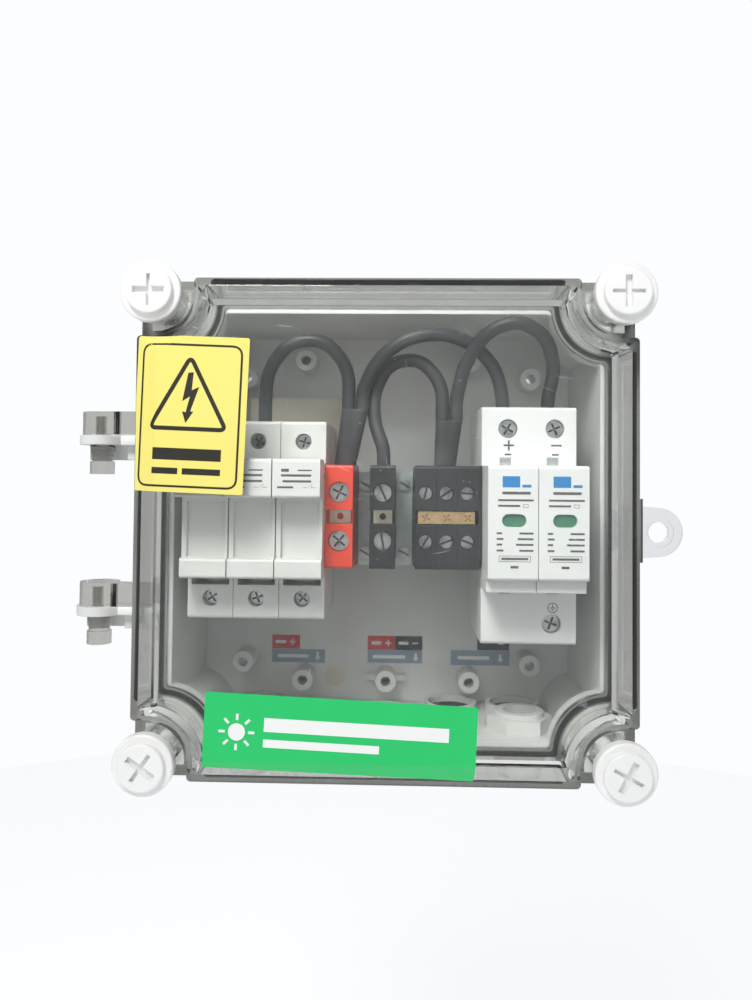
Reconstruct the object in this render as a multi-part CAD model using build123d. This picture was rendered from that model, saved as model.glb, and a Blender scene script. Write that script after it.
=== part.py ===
from build123d import *
import math
import os

# A wall-mounted dc combiner box: a hinged clear lid on a white plastic base, with
# three fuse holders, rail terminals and a two-pole surge arrester on one DIN rail.
# Millimetres. X is to the right, Z is up and the front faces -Y. The origin is the
# centre of the base's back face, which lies against the wall.

# Enclosure outline, square seen from the front
LID_HALF = 90.2          # half the lid's width, and half its height
BASE_HALF = 86.0         # half the base's width behind its rim
WALL = 3.2               # side walls of base and lid
BACK_T = 3.0             # back panel
BASE_DEPTH = 62.0        # wall face to the joint between base and lid
LID_DEPTH = 33.0         # joint to the face of the raised window
BEVEL_H = 5.0            # how far the window stands in front of the lid's edge
BEVEL_W = 8.9            # width of the sloping band round the window
RIM_H = 6.0              # thickness of the base's outward rim
FOOT_H = 3.0             # thickness of the lid's inward foot
FOOT_W = 2.8             # how far the foot reaches in from the lid's wall

# Lid screws, outside the seal in the corners
SCREW_X = 86.0
SCREW_Z = 85.5
HEAD_R = 11.2
SHANK_R = 3.1
SHANK_IN = 5.0           # reach of the shank into the base
COLUMN_R = 8.5           # outside lobe of a base corner
EAR_R = 9.0              # lobe of the rim and of the lid round a screw
THREAD_R = 4.0           # full thread radius in the base
LID_BORE_R = 3.6
NOTCH_R = 16.6           # hollow round a screw in the lid's front edge
LEDGE_DROP = 6.0         # ledge under a head, below the lid's edge
SEAL_T = 1.0             # sealing washer under a head

# Joint seal
GROOVE_W = 2.8
GROOVE_D = 3.2
GROOVE_IN = 1.8          # groove's outer edge, in from the lid's edge
TONGUE_H = 0.8
TONGUE_GAP = 0.6
GASKET_GAP = 0.2

# Hinges on the left side
HINGE_X = -112.0
HINGE_R = 7.6
PIN_R = 2.5
PIN_FIT = 0.1
HINGE_TOPS = (43.2, -23.0)
TAB_H = 8.9
LUG_H = 9.3
HINGE_GAP = 0.3

# Seal lug on the right side
LUG_X = 104.6
LUG_Z = -1.4
LUG_HOLE_R = 4.1
LUG_T = 2.4

# Back panel bosses
BOSS_R = 4.7
BOSS_HOLE_R = 2.1
WALL_HOLE_PITCH = 127.0
PLATE_BOSSES = ((-36.9, -71.4), (36.9, -71.4), (-36.9, 71.4), (36.9, 71.4), (0.0, -71.4))

# DIN rail, 35 by 7.5
RAIL_Z = 1.5
RAIL_W = 35.0
RAIL_DEEP = 7.5
RAIL_T = 1.0
RAIL_LEFT = -78.0
RAIL_RIGHT = 75.0
RAIL_STAND = 12.5        # boss height above the back panel's inner face
RAIL_BOSS_X = 66.0
SHOULDER = 44.0          # device shoulders above the rail
NOSE = 66.0              # device noses above the rail
HOOK = 1.9               # reach of a hook behind a rail flange

# Fuse holders
FUSE_POLES = (-67.0, -49.4, -31.8)
FUSE_W = 17.4
FUSE_TOP = 40.0
FUSE_LOW = -36.0
FUSE_WALL = 1.5
NOSE_TOP = 24.9
NOSE_LOW = -19.2
PIVOT_IN = 2.5           # pivot in front of the shoulders
PIVOT_DOWN = 2.9         # pivot below the nose's top
LINK_R = 5.15            # cartridge fuse 10.3 by 38
LINK_L = 38.0
LINK_IN = 6.0            # fuse axis behind the shoulders

# Surge arrester
SPD_LEFT = 36.6
SPD_W = 36.0
SPD_TOP = 46.1
SPD_LOW = -44.2
PLUG_TOP = 23.2
PLUG_LOW = -22.4
PLUG_FLOOR = 17.0        # pocket floor behind the shoulders
PLUG_GAP = 0.1

# Rail terminals: left and right edges
RED_POLE = (-23.1, -12.4)
BLACK_POLE = (-6.0, 3.8)
BLOCK_LEFT = 11.3
BLOCK_PITCH = 8.0
END_PLATE_T = 1.2
CLAMPS = ((-12.1, -6.3), (4.1, 11.0))
TERM_TOP = 23.3
TERM_LOW = -16.1
TERM_HIGH = 47.0         # terminal fronts above the rail
TERM_WIRE_Y = 31.0       # wire entries above the rail
SCREW_ROWS = (12.8, -5.8)
WINDOW_Z = (0.8, 6.2)

# Wires
WIRE_R = 2.7
ENTRY_GAP = 0.4

# Cable glands and knock-outs in the floor
GLAND_X = (-55.0, 0.0, 55.0)
GLAND_Y = -42.2
THREAD_GLAND_R = 10.0
GLAND_BORE_R = 4.5
COLLAR_X = (-55.4, 28.5, 55.4)
COLLAR_Y = -17.0
COLLAR_R = 9.5

# Derived places
JOINT_Y = -BASE_DEPTH
FRONT_Y = JOINT_Y - LID_DEPTH
EDGE_Y = FRONT_Y + BEVEL_H
LEDGE_Y = EDGE_Y + LEDGE_DROP
HEAD_Y = LEDGE_Y - SEAL_T
INNER = BASE_HALF - WALL
PANEL_Y = -BACK_T
RAIL_BACK_Y = PANEL_Y - RAIL_STAND
RAIL_Y = RAIL_BACK_Y - RAIL_DEEP
SHOULDER_Y = RAIL_Y - SHOULDER
NOSE_Y = RAIL_Y - NOSE
PIVOT_Y = SHOULDER_Y - PIVOT_IN
PIVOT_Z = NOSE_TOP - PIVOT_DOWN
LINK_Y = SHOULDER_Y + LINK_IN
TERM_Y = RAIL_Y - TERM_HIGH
BAR_Y = TERM_Y + 8.5
ENTRY_Y = RAIL_Y - 27.4
TERM_ENTRY_Y = RAIL_Y - TERM_WIRE_Y
REAR_Y = RAIL_Y + 4.5
RAIL_TOP = RAIL_Z + RAIL_W / 2
RAIL_LOW = RAIL_Z - RAIL_W / 2
SCREWS = [(sx * SCREW_X, sz * SCREW_Z) for sz in (1, -1) for sx in (-1, 1)]
FLOOR_Z = -INNER
CORED = NOTCH_R - WALL   # radius of the hollow behind a corner ledge


def block(x, y, z):
    """A box from its low and high edge on each axis."""
    place = Pos((x[0] + x[1]) / 2, (y[0] + y[1]) / 2, (z[0] + z[1]) / 2)
    return place * Box(abs(x[1] - x[0]), abs(y[1] - y[0]), abs(z[1] - z[0]))


def rod_y(x, z, r, y):
    """A cylinder along Y between two depths."""
    return Pos(x, (y[0] + y[1]) / 2, z) * Rot(90, 0, 0) * Cylinder(r, abs(y[1] - y[0]))


def rod_z(x, y, r, z):
    """A cylinder along Z between two heights."""
    return Pos(x, y, (z[0] + z[1]) / 2) * Cylinder(r, abs(z[1] - z[0]))


def rod_x(y, z, r, x):
    """A cylinder along X between two sides."""
    return Pos((x[0] + x[1]) / 2, y, z) * Rot(0, 90, 0) * Cylinder(r, abs(x[1] - x[0]))


def front(y):
    """The plane at depth y that faces the front, with X to the right and Z up."""
    return Plane(origin=(0, y, 0), x_dir=(1, 0, 0), z_dir=(0, -1, 0))


def slab(outline, back, near):
    """An outline carried from the depth back forward to the depth near."""
    return extrude(front(back) * outline, amount=back - near)


def notched(half, notch, soften=1.5):
    """A square with a round hollow about each lid screw, its corners softened."""
    outline = Rectangle(2 * half, 2 * half)
    for x, z in SCREWS:
        outline -= Pos(x, z) * Circle(notch)
    return fillet(outline.vertices(), soften)


def eared(half, ear):
    """A square with a round lobe about each lid screw."""
    outline = Rectangle(2 * half, 2 * half)
    for x, z in SCREWS:
        outline += Pos(x, z) * Circle(ear)
    return outline


def inset(width, soften=1.5):
    """The lid's front outline taken in by a width all round."""
    return notched(LID_HALF - width, NOTCH_R + width, soften)


def hex_z(x, y, flats, z):
    """A hexagonal prism along Z, from its size across flats."""
    outline = RegularPolygon(flats / 2, 6, major_radius=False)
    return Pos(x, y, min(z)) * extrude(outline, amount=abs(z[1] - z[0]))


def rounded(solid, axis, depth_axis, first, radius):
    """Rounds the edges along one axis that lie furthest to one end of another."""
    edges = solid.edges().filter_by(axis).group_by(depth_axis)[first]
    return fillet(edges, radius)


def cross_slot(x, z, y, size, wide, thin, deep, turn):
    """A cross recess in a screw face at depth y."""
    cut = Box(size, deep * 2, wide) + Box(thin, deep * 2, size)
    return Pos(x, y, z) * Rot(0, turn, 0) * cut


# ---- Enclosure ----

def column_core():
    """The hollow round each corner's screw tube, open at the face it is moulded from."""
    core = Sketch()
    for x, z in SCREWS:
        core += Pos(x, z) * (Circle(CORED) - Circle(COLUMN_R - 1.0))
    return core


def base_shell():
    """Base walls, rim, corner columns and the cavity."""
    rim_y = JOINT_Y + RIM_H
    shell = slab(eared(BASE_HALF, COLUMN_R), 0, rim_y)
    shell += slab(eared(LID_HALF, EAR_R), rim_y, JOINT_Y)
    shell -= slab(notched(INNER, CORED + WALL), PANEL_Y, rim_y)
    shell -= slab(notched(INNER, NOTCH_R + 6.0), rim_y, JOINT_Y)
    core = column_core() & Rectangle(2 * BASE_HALF - 2 * WALL, 2 * BASE_HALF - 2 * WALL)
    shell -= slab(core, 0, rim_y + WALL)
    groove = inset(GROOVE_IN) - inset(GROOVE_IN + GROOVE_W)
    shell -= slab(groove, JOINT_Y + GROOVE_D, JOINT_Y)
    for x, z in SCREWS:
        shell -= rod_y(x, z, THREAD_R, (JOINT_Y + 2 * SHANK_IN, JOINT_Y))
    return shell


def wall_holes():
    """Places of the four holes for the wall screws."""
    half = WALL_HOLE_PITCH / 2
    return [(x, z) for z in (half, -half) for x in (-half, half)]


def bosses():
    """Bosses on the back panel: four for wall screws, five spare, two under the rail."""
    places = wall_holes() + list(PLATE_BOSSES)
    places += [(-RAIL_BOSS_X, RAIL_Z), (RAIL_BOSS_X, RAIL_Z)]
    made = [rod_y(x, z, BOSS_R, (PANEL_Y + 1, RAIL_BACK_Y)) for x, z in places]
    x, z = PLATE_BOSSES[-1]
    made.append(block((x - 9, x + 9), (PANEL_Y + 1, PANEL_Y - 5), (z - 1.2, z + 1.2)))
    return made


def boss_holes():
    """Through holes for the wall screws and blind ones in the other bosses."""
    blind = list(PLATE_BOSSES) + [(-RAIL_BOSS_X, RAIL_Z), (RAIL_BOSS_X, RAIL_Z)]
    holes = [rod_y(x, z, BOSS_HOLE_R, (1, RAIL_BACK_Y - 1)) for x, z in wall_holes()]
    holes += [rod_y(x, z, BOSS_HOLE_R, (PANEL_Y - 2, RAIL_BACK_Y - 1)) for x, z in blind]
    return holes


def base_lug(top):
    """A white hinge lug on the base's left side, under a lid tab."""
    high = top - TAB_H - HINGE_GAP
    low = high - LUG_H
    plate_low = high - 3.6
    lug = rod_z(HINGE_X, JOINT_Y, HINGE_R + 1, (plate_low, high))
    lug += block((HINGE_X, -LID_HALF - 2), (JOINT_Y - 3, JOINT_Y + 7), (plate_low, high))
    lug -= block((-LID_HALF - 6, -LID_HALF), (JOINT_Y - 8, JOINT_Y + 0.4), (low, high))
    lug += block((-LID_HALF - 6, -LID_HALF + 1), (JOINT_Y + 0.6, JOINT_Y + 5), (low, high))
    lug += block((HINGE_X - 7, -LID_HALF - 2), (JOINT_Y + 5.4, JOINT_Y + 7.6), (low, high))
    lug += block((-LID_HALF - 12, -LID_HALF - 2), (JOINT_Y + 0.6, JOINT_Y + 7.6), (low, high))
    return lug - rod_z(HINGE_X, JOINT_Y, PIN_R + PIN_FIT / 2, (low, high + 1))


def enclosure_base():
    """The base shell with its bosses, knock-out collars, floor holes and hinge lugs."""
    shell = base_shell()
    for boss in bosses():
        shell += boss
    for x in COLLAR_X:
        shell += rod_z(x, COLLAR_Y, COLLAR_R + 2, (FLOOR_Z - 1, FLOOR_Z + 4))
    for top in HINGE_TOPS:
        shell += base_lug(top)
    for hole in boss_holes():
        shell -= hole
    for x in COLLAR_X:
        shell -= rod_z(x, COLLAR_Y, COLLAR_R, (-BASE_HALF - 1, FLOOR_Z + 5))
    for x in GLAND_X:
        shell -= rod_z(x, GLAND_Y, THREAD_GLAND_R, (-BASE_HALF - 1, FLOOR_Z + 1))
    return shell


def lid_gasket():
    """The sponge cord in the rim's groove, up to the lid's tongue."""
    ring = inset(GROOVE_IN + GASKET_GAP) - inset(GROOVE_IN + GROOVE_W - GASKET_GAP)
    return slab(ring, JOINT_Y + GROOVE_D, JOINT_Y + TONGUE_H)


def lid_front():
    """The lid's outer form from the ledge forward, with the sloping band."""
    form = slab(inset(0), LEDGE_Y + 0.5, EDGE_Y)
    edge = front(EDGE_Y) * inset(0)
    window = front(FRONT_Y) * notched(LID_HALF - BEVEL_W, NOTCH_R + 0.64 * BEVEL_W)
    return form + loft([edge, window], ruled=True)


def lid_hollow():
    """The space inside the lid."""
    wall_y = EDGE_Y + 0.8 * WALL
    space = slab(inset(WALL + FOOT_W), JOINT_Y + 1, JOINT_Y - FOOT_H)
    space += slab(inset(WALL), JOINT_Y - FOOT_H, wall_y)
    edge = front(wall_y) * inset(WALL)
    half = LID_HALF - BEVEL_W - 0.55 * WALL
    window = front(FRONT_Y + WALL) * notched(half, NOTCH_R + 0.64 * BEVEL_W + 0.6 * WALL)
    return space + loft([edge, window], ruled=True)


def lid_tab(top):
    """A clear hinge tab on the lid's left side."""
    low = top - TAB_H
    tab = rod_z(HINGE_X, JOINT_Y, HINGE_R, (low, top))
    tab += block((HINGE_X, -LID_HALF + 1), (JOINT_Y - HINGE_R, JOINT_Y - 0.6), (low, top))
    return tab - rod_z(HINGE_X, JOINT_Y, PIN_R + PIN_FIT, (low - 1, top - 1.6))


def seal_lug():
    """The clear lug on the right side that takes a padlock or a sealing wire."""
    back, near = JOINT_Y - 0.3, JOINT_Y - 0.3 - LUG_T
    outline = Pos(LUG_X, LUG_Z) * Circle(9.4)
    outline += make_hull((outline + Pos(LID_HALF, LUG_Z) * Rectangle(1, 21)).edges())
    lug = slab(outline, back, near)
    ring = Circle(LUG_HOLE_R + 1.6) - Circle(LUG_HOLE_R)
    lug += slab(Pos(LUG_X, LUG_Z) * ring, near + 0.1, near - 1.2)
    lug -= rod_y(LUG_X, LUG_Z, LUG_HOLE_R, (back + 1, near - 2))
    rib = block((LID_HALF - 1, LID_HALF + 2.2), (back, EDGE_Y + 4), (LUG_Z - 9.7, LUG_Z + 13.1))
    return lug + rib


def lid():
    """The hinged polycarbonate lid."""
    shell = slab(eared(LID_HALF, EAR_R), JOINT_Y, LEDGE_Y) + lid_front()
    shell -= lid_hollow()
    core = column_core() & Rectangle(2 * LID_HALF - 2 * WALL, 2 * LID_HALF - 2 * WALL)
    shell -= slab(core, JOINT_Y, LEDGE_Y + WALL)
    tongue_in = GROOVE_IN + TONGUE_GAP
    tongue_out = GROOVE_IN + GROOVE_W - TONGUE_GAP
    shell += slab(inset(tongue_in) - inset(tongue_out), JOINT_Y + TONGUE_H, JOINT_Y - 0.1)
    for x, z in SCREWS:
        shell -= rod_y(x, z, LID_BORE_R, (JOINT_Y + 1, LEDGE_Y - 1))
    for top in HINGE_TOPS:
        shell += lid_tab(top)
    return shell + seal_lug()


def hinge_pins():
    """Two stubby clear pins pushed up through the lugs into the tabs."""
    pins = []
    for top in HINGE_TOPS:
        high = top - TAB_H - HINGE_GAP
        plate_low = high - 3.6
        pin = rod_z(HINGE_X, JOINT_Y, PIN_R, (plate_low - 1, top - 2.0))
        pin += Pos(HINGE_X, JOINT_Y, plate_low - 3.2) * Cone(3.9, 4.8, 6.4)
        pin += rod_z(HINGE_X, JOINT_Y, 4.7, (plate_low - 11.4, plate_low - 6.4))
        pins.append(pin)
    return Compound(children=pins)


def lid_screw(x, z, turn):
    """A captive nylon lid screw with a stepped head and a cross slot."""
    screw = rod_y(x, z, HEAD_R, (HEAD_Y, HEAD_Y - 4.2))
    screw = fillet(screw.edges().group_by(Axis.Y)[0], 1.0)
    cap = rod_y(x, z, HEAD_R - 2.6, (HEAD_Y - 4.0, HEAD_Y - 6.9))
    screw += fillet(cap.edges().group_by(Axis.Y)[0], 0.9)
    screw += rod_y(x, z, SHANK_R, (JOINT_Y + SHANK_IN, HEAD_Y - 0.1))
    return screw - cross_slot(x, z, HEAD_Y - 6.9, 11.5, 2.4, 1.3, 2.0, turn)


def screw_seal(x, z):
    """The washer under a lid screw's head."""
    return rod_y(x, z, 8.0, (LEDGE_Y, HEAD_Y)) - rod_y(x, z, SHANK_R + 0.1, (LEDGE_Y + 1, HEAD_Y - 1))


def lid_label(centre, size, tilt):
    """A sticker that follows the window and the sloping band."""
    outline = RectangleRounded(size[0], size[1], 0.8)
    prism = slab(Pos(*centre) * Rot(0, 0, tilt) * outline, LEDGE_Y, FRONT_Y - 2)
    form = lid_front() & slab(Rectangle(2 * LID_HALF - 0.6, 2 * LID_HALF - 0.6), LEDGE_Y, FRONT_Y - 1)
    skin = (Pos(0, -0.25, 0) * form) - lid_front()
    skin &= slab(Rectangle(3 * LID_HALF, 3 * LID_HALF), EDGE_Y - 0.3, FRONT_Y - 1)
    return prism & skin


# ---- Rail and fixings ----

def din_rail():
    """Slotted 35 by 7.5 rail."""
    half, depth = RAIL_W / 2, (RAIL_BACK_Y, RAIL_Y)
    span = (RAIL_LEFT, RAIL_RIGHT)
    rail = block(span, depth, (RAIL_Z - 13.5, RAIL_Z + 13.5))
    rail -= block((RAIL_LEFT - 1, RAIL_RIGHT + 1), (RAIL_BACK_Y - RAIL_T, RAIL_Y - 1),
                  (RAIL_Z - 12.5, RAIL_Z + 12.5))
    rail += block(span, (RAIL_Y + RAIL_T, RAIL_Y), (RAIL_Z + 12.5, RAIL_Z + half))
    rail += block(span, (RAIL_Y + RAIL_T, RAIL_Y), (RAIL_Z - half, RAIL_Z - 12.5))
    for step in range(-2, 3):
        slot = slab(SlotOverall(15, 6.2), RAIL_BACK_Y + 1, RAIL_BACK_Y - 3)
        rail -= Pos(step * RAIL_BOSS_X / 2, 0, RAIL_Z) * slot
    return rail


def pan_screw(x, z, y, head_r, head_h, shank_r, shank_l, turn=0.0):
    """A cross-head screw whose head sits on depth y and shank goes in behind it."""
    screw = rod_y(x, z, head_r, (y, y - head_h))
    screw += rod_y(x, z, shank_r, (y + shank_l, y - 0.1))
    return screw - cross_slot(x, z, y - head_h, head_r * 1.5, 0.7, 0.7, head_h * 0.5, turn)


def slot_screw(x, z, y, head_r, head_h, shank_r, shank_l, turn=0.0):
    """A slotted screw whose head sits on depth y."""
    screw = rod_y(x, z, head_r, (y, y - head_h))
    screw += rod_y(x, z, shank_r, (y + shank_l, y - 0.1))
    slot = Pos(x, y - head_h, z) * Rot(0, turn, 0) * Box(head_r * 2.2, head_h, 0.8)
    return screw - slot


def hook_top(x):
    """A fixed leg and hook over the rail's upper flange."""
    leg = block(x, (RAIL_Y + 3, RAIL_Y), (RAIL_TOP + 0.1, RAIL_TOP + 2.3))
    return leg + block(x, (RAIL_Y + 3, RAIL_Y + RAIL_T + 0.1), (RAIL_TOP - HOOK, RAIL_TOP + 0.2))


def hook_low(x):
    """A springy leg and hook under the rail's lower flange."""
    leg = block(x, (RAIL_Y + 3, RAIL_Y), (RAIL_LOW - 2.3, RAIL_LOW - 0.1))
    return leg + block(x, (RAIL_Y + 3, RAIL_Y + RAIL_T + 0.1), (RAIL_LOW - 0.2, RAIL_LOW + 1.4))


def end_clamp(x):
    """A zinc end clamp with a screw at each end."""
    clamp = block(x, (RAIL_Y, RAIL_Y - 8), (RAIL_LOW - 2.3, RAIL_TOP + 2.3))
    return clamp + hook_top(x) + hook_low(x)


def rail_clip(x, half, low):
    """The sliding foot that locks a device under the rail's lower flange."""
    clip = block((x - half, x + half), (RAIL_Y + RAIL_T + 0.2, REAR_Y - 0.7), (low + 0.6, RAIL_LOW + 1.6))
    return clip - block((x - 2, x + 2), (RAIL_Y, REAR_Y), (low + 2.4, low + 4.6))


def clip_channel(x, half, low):
    """The channel behind a device that a rail clip slides in."""
    wide = (x - half - 0.3, x + half + 0.3)
    return block(wide, (RAIL_Y + RAIL_T - 0.1, REAR_Y + 1), (low - 1, RAIL_LOW + 0.1))


# ---- Fuse holders ----

def device_body(x, low, high):
    """A rail device's body with its rail slot and upper hook."""
    body = block(x, (REAR_Y, SHOULDER_Y), (low, high))
    body = rounded(body, Axis.X, Axis.Y, 0, 1.4)
    body -= block((x[0] - 1, x[1] + 1), (RAIL_Y, REAR_Y + 1), (RAIL_LOW - 0.2, RAIL_TOP + 0.1))
    hook = block(x, (RAIL_Y + RAIL_T + 0.1, RAIL_Y + 3), (RAIL_TOP - HOOK, RAIL_TOP + 0.3))
    return body + hook


def screw_well(x, z, r, depth, shank_r):
    """A round well in the shoulders over a terminal screw, and its shank hole."""
    well = rod_y(x, z, r, (SHOULDER_Y + depth, SHOULDER_Y - 1))
    return well + rod_y(x, z, shank_r, (SHOULDER_Y + depth + 6.0, SHOULDER_Y))


def fuse_body(x):
    """One fuse holder pole, open in front for the fuse carrier."""
    half = FUSE_W / 2
    inner = half - FUSE_WALL
    body = device_body((x - half, x + half), FUSE_LOW, FUSE_TOP)
    reach = math.hypot(LINK_IN + PIVOT_IN + LINK_R, PIVOT_Z + LINK_L / 2 + 1.3)
    low = PIVOT_Z - reach - 0.6
    body -= block((x - inner, x + inner), (SHOULDER_Y + 16.2, SHOULDER_Y - 1), (low, PIVOT_Z - 0.7))
    for side in (-1, 1):
        edges = sorted((x + side * inner, x + side * half))
        ear = block(edges, (SHOULDER_Y + 0.5, PIVOT_Y - 2.4), (PIVOT_Z - 2.4, PIVOT_Z + 2.2))
        body += ear - rod_x(PIVOT_Y, PIVOT_Z, 1.45, (edges[0] - 1, edges[1] + 1))
    for z in fuse_screw_rows():
        body -= screw_well(x, z, 3.1, 6.4, 2.2)
    tongue_y = LINK_Y + 6.4
    upper_row, lower_row = fuse_screw_rows()
    tongue_gap = (tongue_y + 1.2, tongue_y - 0.2)
    body -= block((x - 4.2, x + 4.2), tongue_gap, (lower_row - 3, low + 1))
    body -= block((x - 4.2, x + 4.2), tongue_gap, (PIVOT_Z - 1, upper_row + 3))
    body -= rod_z(x, ENTRY_Y, WIRE_R + ENTRY_GAP, (FUSE_TOP - 6, FUSE_TOP + 1))
    body -= rod_z(x, ENTRY_Y, WIRE_R + ENTRY_GAP, (FUSE_LOW - 1, FUSE_LOW + 6))
    return body - clip_channel(x, 4.0, FUSE_LOW)


def fuse_screw_rows():
    """Heights of a pole's upper and lower terminal screws."""
    return FUSE_TOP - 7.8, FUSE_LOW + 7.8


def fuse_carrier(x):
    """The swinging carrier: nose, finger recess, grip lip, tray cheeks and pivot pins."""
    half = FUSE_W / 2 - 0.1
    cheek = FUSE_W / 2 - FUSE_WALL - 0.2
    nose = block((x - half, x + half), (PIVOT_Y - 3.8, NOSE_Y), (NOSE_TOP - 14.2, NOSE_TOP))
    nose = rounded(nose, Axis.X, Axis.Y, 0, 1.2)
    nose += block((x - cheek, x + cheek), (PIVOT_Y - 1, PIVOT_Y - 4), (NOSE_TOP - 11, NOSE_TOP))
    handle_y = NOSE_Y + 11
    grip = block((x - half, x + half), (SHOULDER_Y - 0.3, handle_y), (NOSE_LOW, PIVOT_Z - 4.5))
    dish = (x - half + 1.8, x + half - 1.2)
    grip -= block(dish, (handle_y + 1.8, handle_y - 1), (NOSE_LOW + 7.6, PIVOT_Z - 13))
    lip = block((x - half, x + half), (handle_y + 1, handle_y - 3.2), (NOSE_LOW, NOSE_LOW + 7.4))
    grip += rounded(lip, Axis.X, Axis.Y, 0, 1.2)
    carrier = nose + grip
    mid = block((x - cheek, x + cheek), (SHOULDER_Y - 1, LINK_Y + 4), (-7, 8))
    carrier += mid - block((x - LINK_R - 0.2, x + LINK_R + 0.2), (SHOULDER_Y + 0.6, LINK_Y + 5), (-9, 9))
    for low, high in ((LINK_L / 2, LINK_L / 2 + 1.1), (-LINK_L / 2 - 1.1, -LINK_L / 2)):
        carrier += block((x - 3, x + 3), (SHOULDER_Y - 2.2, LINK_Y - 2), (low, high))
    pins = rod_x(PIVOT_Y, PIVOT_Z, 1.3, (x - half + 0.1, x + half - 0.1))
    bridge = block((x - cheek, x + cheek), (PIVOT_Y - 1.5, PIVOT_Y + 1), (PIVOT_Z - 6, PIVOT_Z))
    return carrier + pins + bridge


def fuse_link(x):
    """A cartridge fuse: ceramic tube and two end caps."""
    cap, half = 9.5, LINK_L / 2
    return Compound(children=[
        rod_z(x, LINK_Y, LINK_R - 0.15, (-half + cap, half - cap)),
        rod_z(x, LINK_Y, LINK_R, (half - cap, half)),
        rod_z(x, LINK_Y, LINK_R, (-half, -half + cap)),
    ])


def fuse_contact(x, up):
    """A spring jaw round one end cap, with its tongue to the terminal screw."""
    rows = fuse_screw_rows()
    jaw = (10, 18) if up else (-18, -10)
    tongue = (17.9, rows[0] + 2.4) if up else (rows[1] - 2.4, -17.9)
    leaf = LINK_R + 0.4
    back = LINK_Y + 6.4
    made = block((x - leaf - 0.7, x + leaf + 0.7), (back + 0.9, back), jaw)
    for side in (-1, 1):
        edges = sorted((x + side * leaf, x + side * (leaf + 0.7)))
        made += block(edges, (back + 0.1, LINK_Y - 4.2), jaw)
    return made + block((x - 4, x + 4), (back + 0.9, back), tongue)


def fuse_terminal_screws():
    """The clamping screws at both ends of each pole."""
    turns = (20, 55, 35, 70, 15, 40)
    made = []
    places = [(x, z) for x in FUSE_POLES for z in fuse_screw_rows()]
    for (x, z), turn in zip(places, turns):
        made.append(pan_screw(x, z, SHOULDER_Y + 6.4, 2.8, 2.6, 2.0, 6.0, turn))
    return Compound(children=made)


# ---- Surge arrester ----

def spd_centres():
    """Centres of the two plug-in modules."""
    return SPD_LEFT + SPD_W / 4, SPD_LEFT + 3 * SPD_W / 4


def spd_screws():
    """Places of the arrester's terminal screws: two on top and the earth one below."""
    left, right = spd_centres()
    return (left + 1.0, SPD_TOP - 8.3), (right + 0.9, SPD_TOP - 8.3), (right - 0.3, SPD_LOW + 7.9)


def spd_base():
    """The U-shaped base that the two modules plug into."""
    x = (SPD_LEFT, SPD_LEFT + SPD_W)
    floor = SHOULDER_Y + PLUG_FLOOR
    body = device_body(x, SPD_LOW, SPD_TOP)
    body -= block((x[0] - 1, x[1] + 1), (floor, SHOULDER_Y - 1), (PLUG_LOW - 0.3, PLUG_TOP + 0.3))
    for centre in spd_centres():
        wide, deep = (centre - 2.2, centre + 2.2), (SHOULDER_Y + 3, SHOULDER_Y - 1)
        body -= block(wide, deep, (PLUG_TOP, PLUG_TOP + 3.6))
        body -= block(wide, deep, (PLUG_LOW - 2.6, PLUG_LOW))
        for z in (14, -14):
            body -= block((centre - 4.4, centre + 4.4), (floor + 10, floor - 1), (z - 1.9, z + 1.9))
    for sx, sz in spd_screws():
        body -= screw_well(sx, sz, 3.6, 4.6, 2.4)
        end = (SPD_TOP - 6, SPD_TOP + 1) if sz > 0 else (SPD_LOW - 1, SPD_LOW + 6)
        body -= rod_z(sx, ENTRY_Y, WIRE_R + ENTRY_GAP, end)
    return body - clip_channel(SPD_LEFT + SPD_W / 2, 6.0, SPD_LOW)


def spd_module(centre):
    """One plug-in varistor module with its grip lip and status window."""
    half = SPD_W / 4 - PLUG_GAP
    x = (centre - half, centre + half)
    floor = SHOULDER_Y + PLUG_FLOOR
    module = block(x, (floor - 0.2, NOSE_Y), (PLUG_LOW, PLUG_TOP))
    module -= block((x[0] - 1, x[1] + 1), (NOSE_Y + 4.4, NOSE_Y - 1), (PLUG_LOW - 1, PLUG_LOW + 4.6))
    module = rounded(module, Axis.X, Axis.Y, 0, 1.3)
    window = Pos(centre + 0.4, 3.6) * SlotOverall(8.6, 4.6)
    module -= slab(window, NOSE_Y + 1.8, NOSE_Y - 1)
    for z in (14, -14):
        module -= block((centre - 3.2, centre + 3.2), (floor, floor - 4), (z - 0.4, z + 0.4))
    return module


def spd_flag(centre):
    """The green status flag behind a module's window."""
    return slab(Pos(centre + 0.4, 3.6) * SlotOverall(8.4, 4.4), NOSE_Y + 1.8, NOSE_Y + 0.9)


def spd_blades(centre):
    """The two plug blades of a module."""
    floor = SHOULDER_Y + PLUG_FLOOR
    x, y = (centre - 3.2, centre + 3.2), (floor + 7.5, floor - 4)
    return Compound(children=[block(x, y, (z - 0.4, z + 0.4)) for z in (14, -14)])


def spd_sockets():
    """The fork contacts in the base that the blades enter."""
    floor = SHOULDER_Y + PLUG_FLOOR
    made = []
    for centre in spd_centres():
        x = (centre - 3.9, centre + 3.9)
        for z in (14, -14):
            fork = block(x, (floor + 9.6, floor + 8.6), (z - 1.6, z + 1.6))
            fork += block(x, (floor + 9.0, floor + 0.4), (z + 0.75, z + 1.6))
            made.append(fork + block(x, (floor + 9.0, floor + 0.4), (z - 1.6, z - 0.75)))
    return Compound(children=made)


def spd_terminal_screws():
    """The arrester's three clamping screws."""
    made = []
    for (x, z), turn in zip(spd_screws(), (30, 65, 20)):
        made.append(pan_screw(x, z, SHOULDER_Y + 4.6, 3.3, 2.8, 2.2, 6.0, turn))
    return Compound(children=made)


# ---- Rail terminals ----

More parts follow.
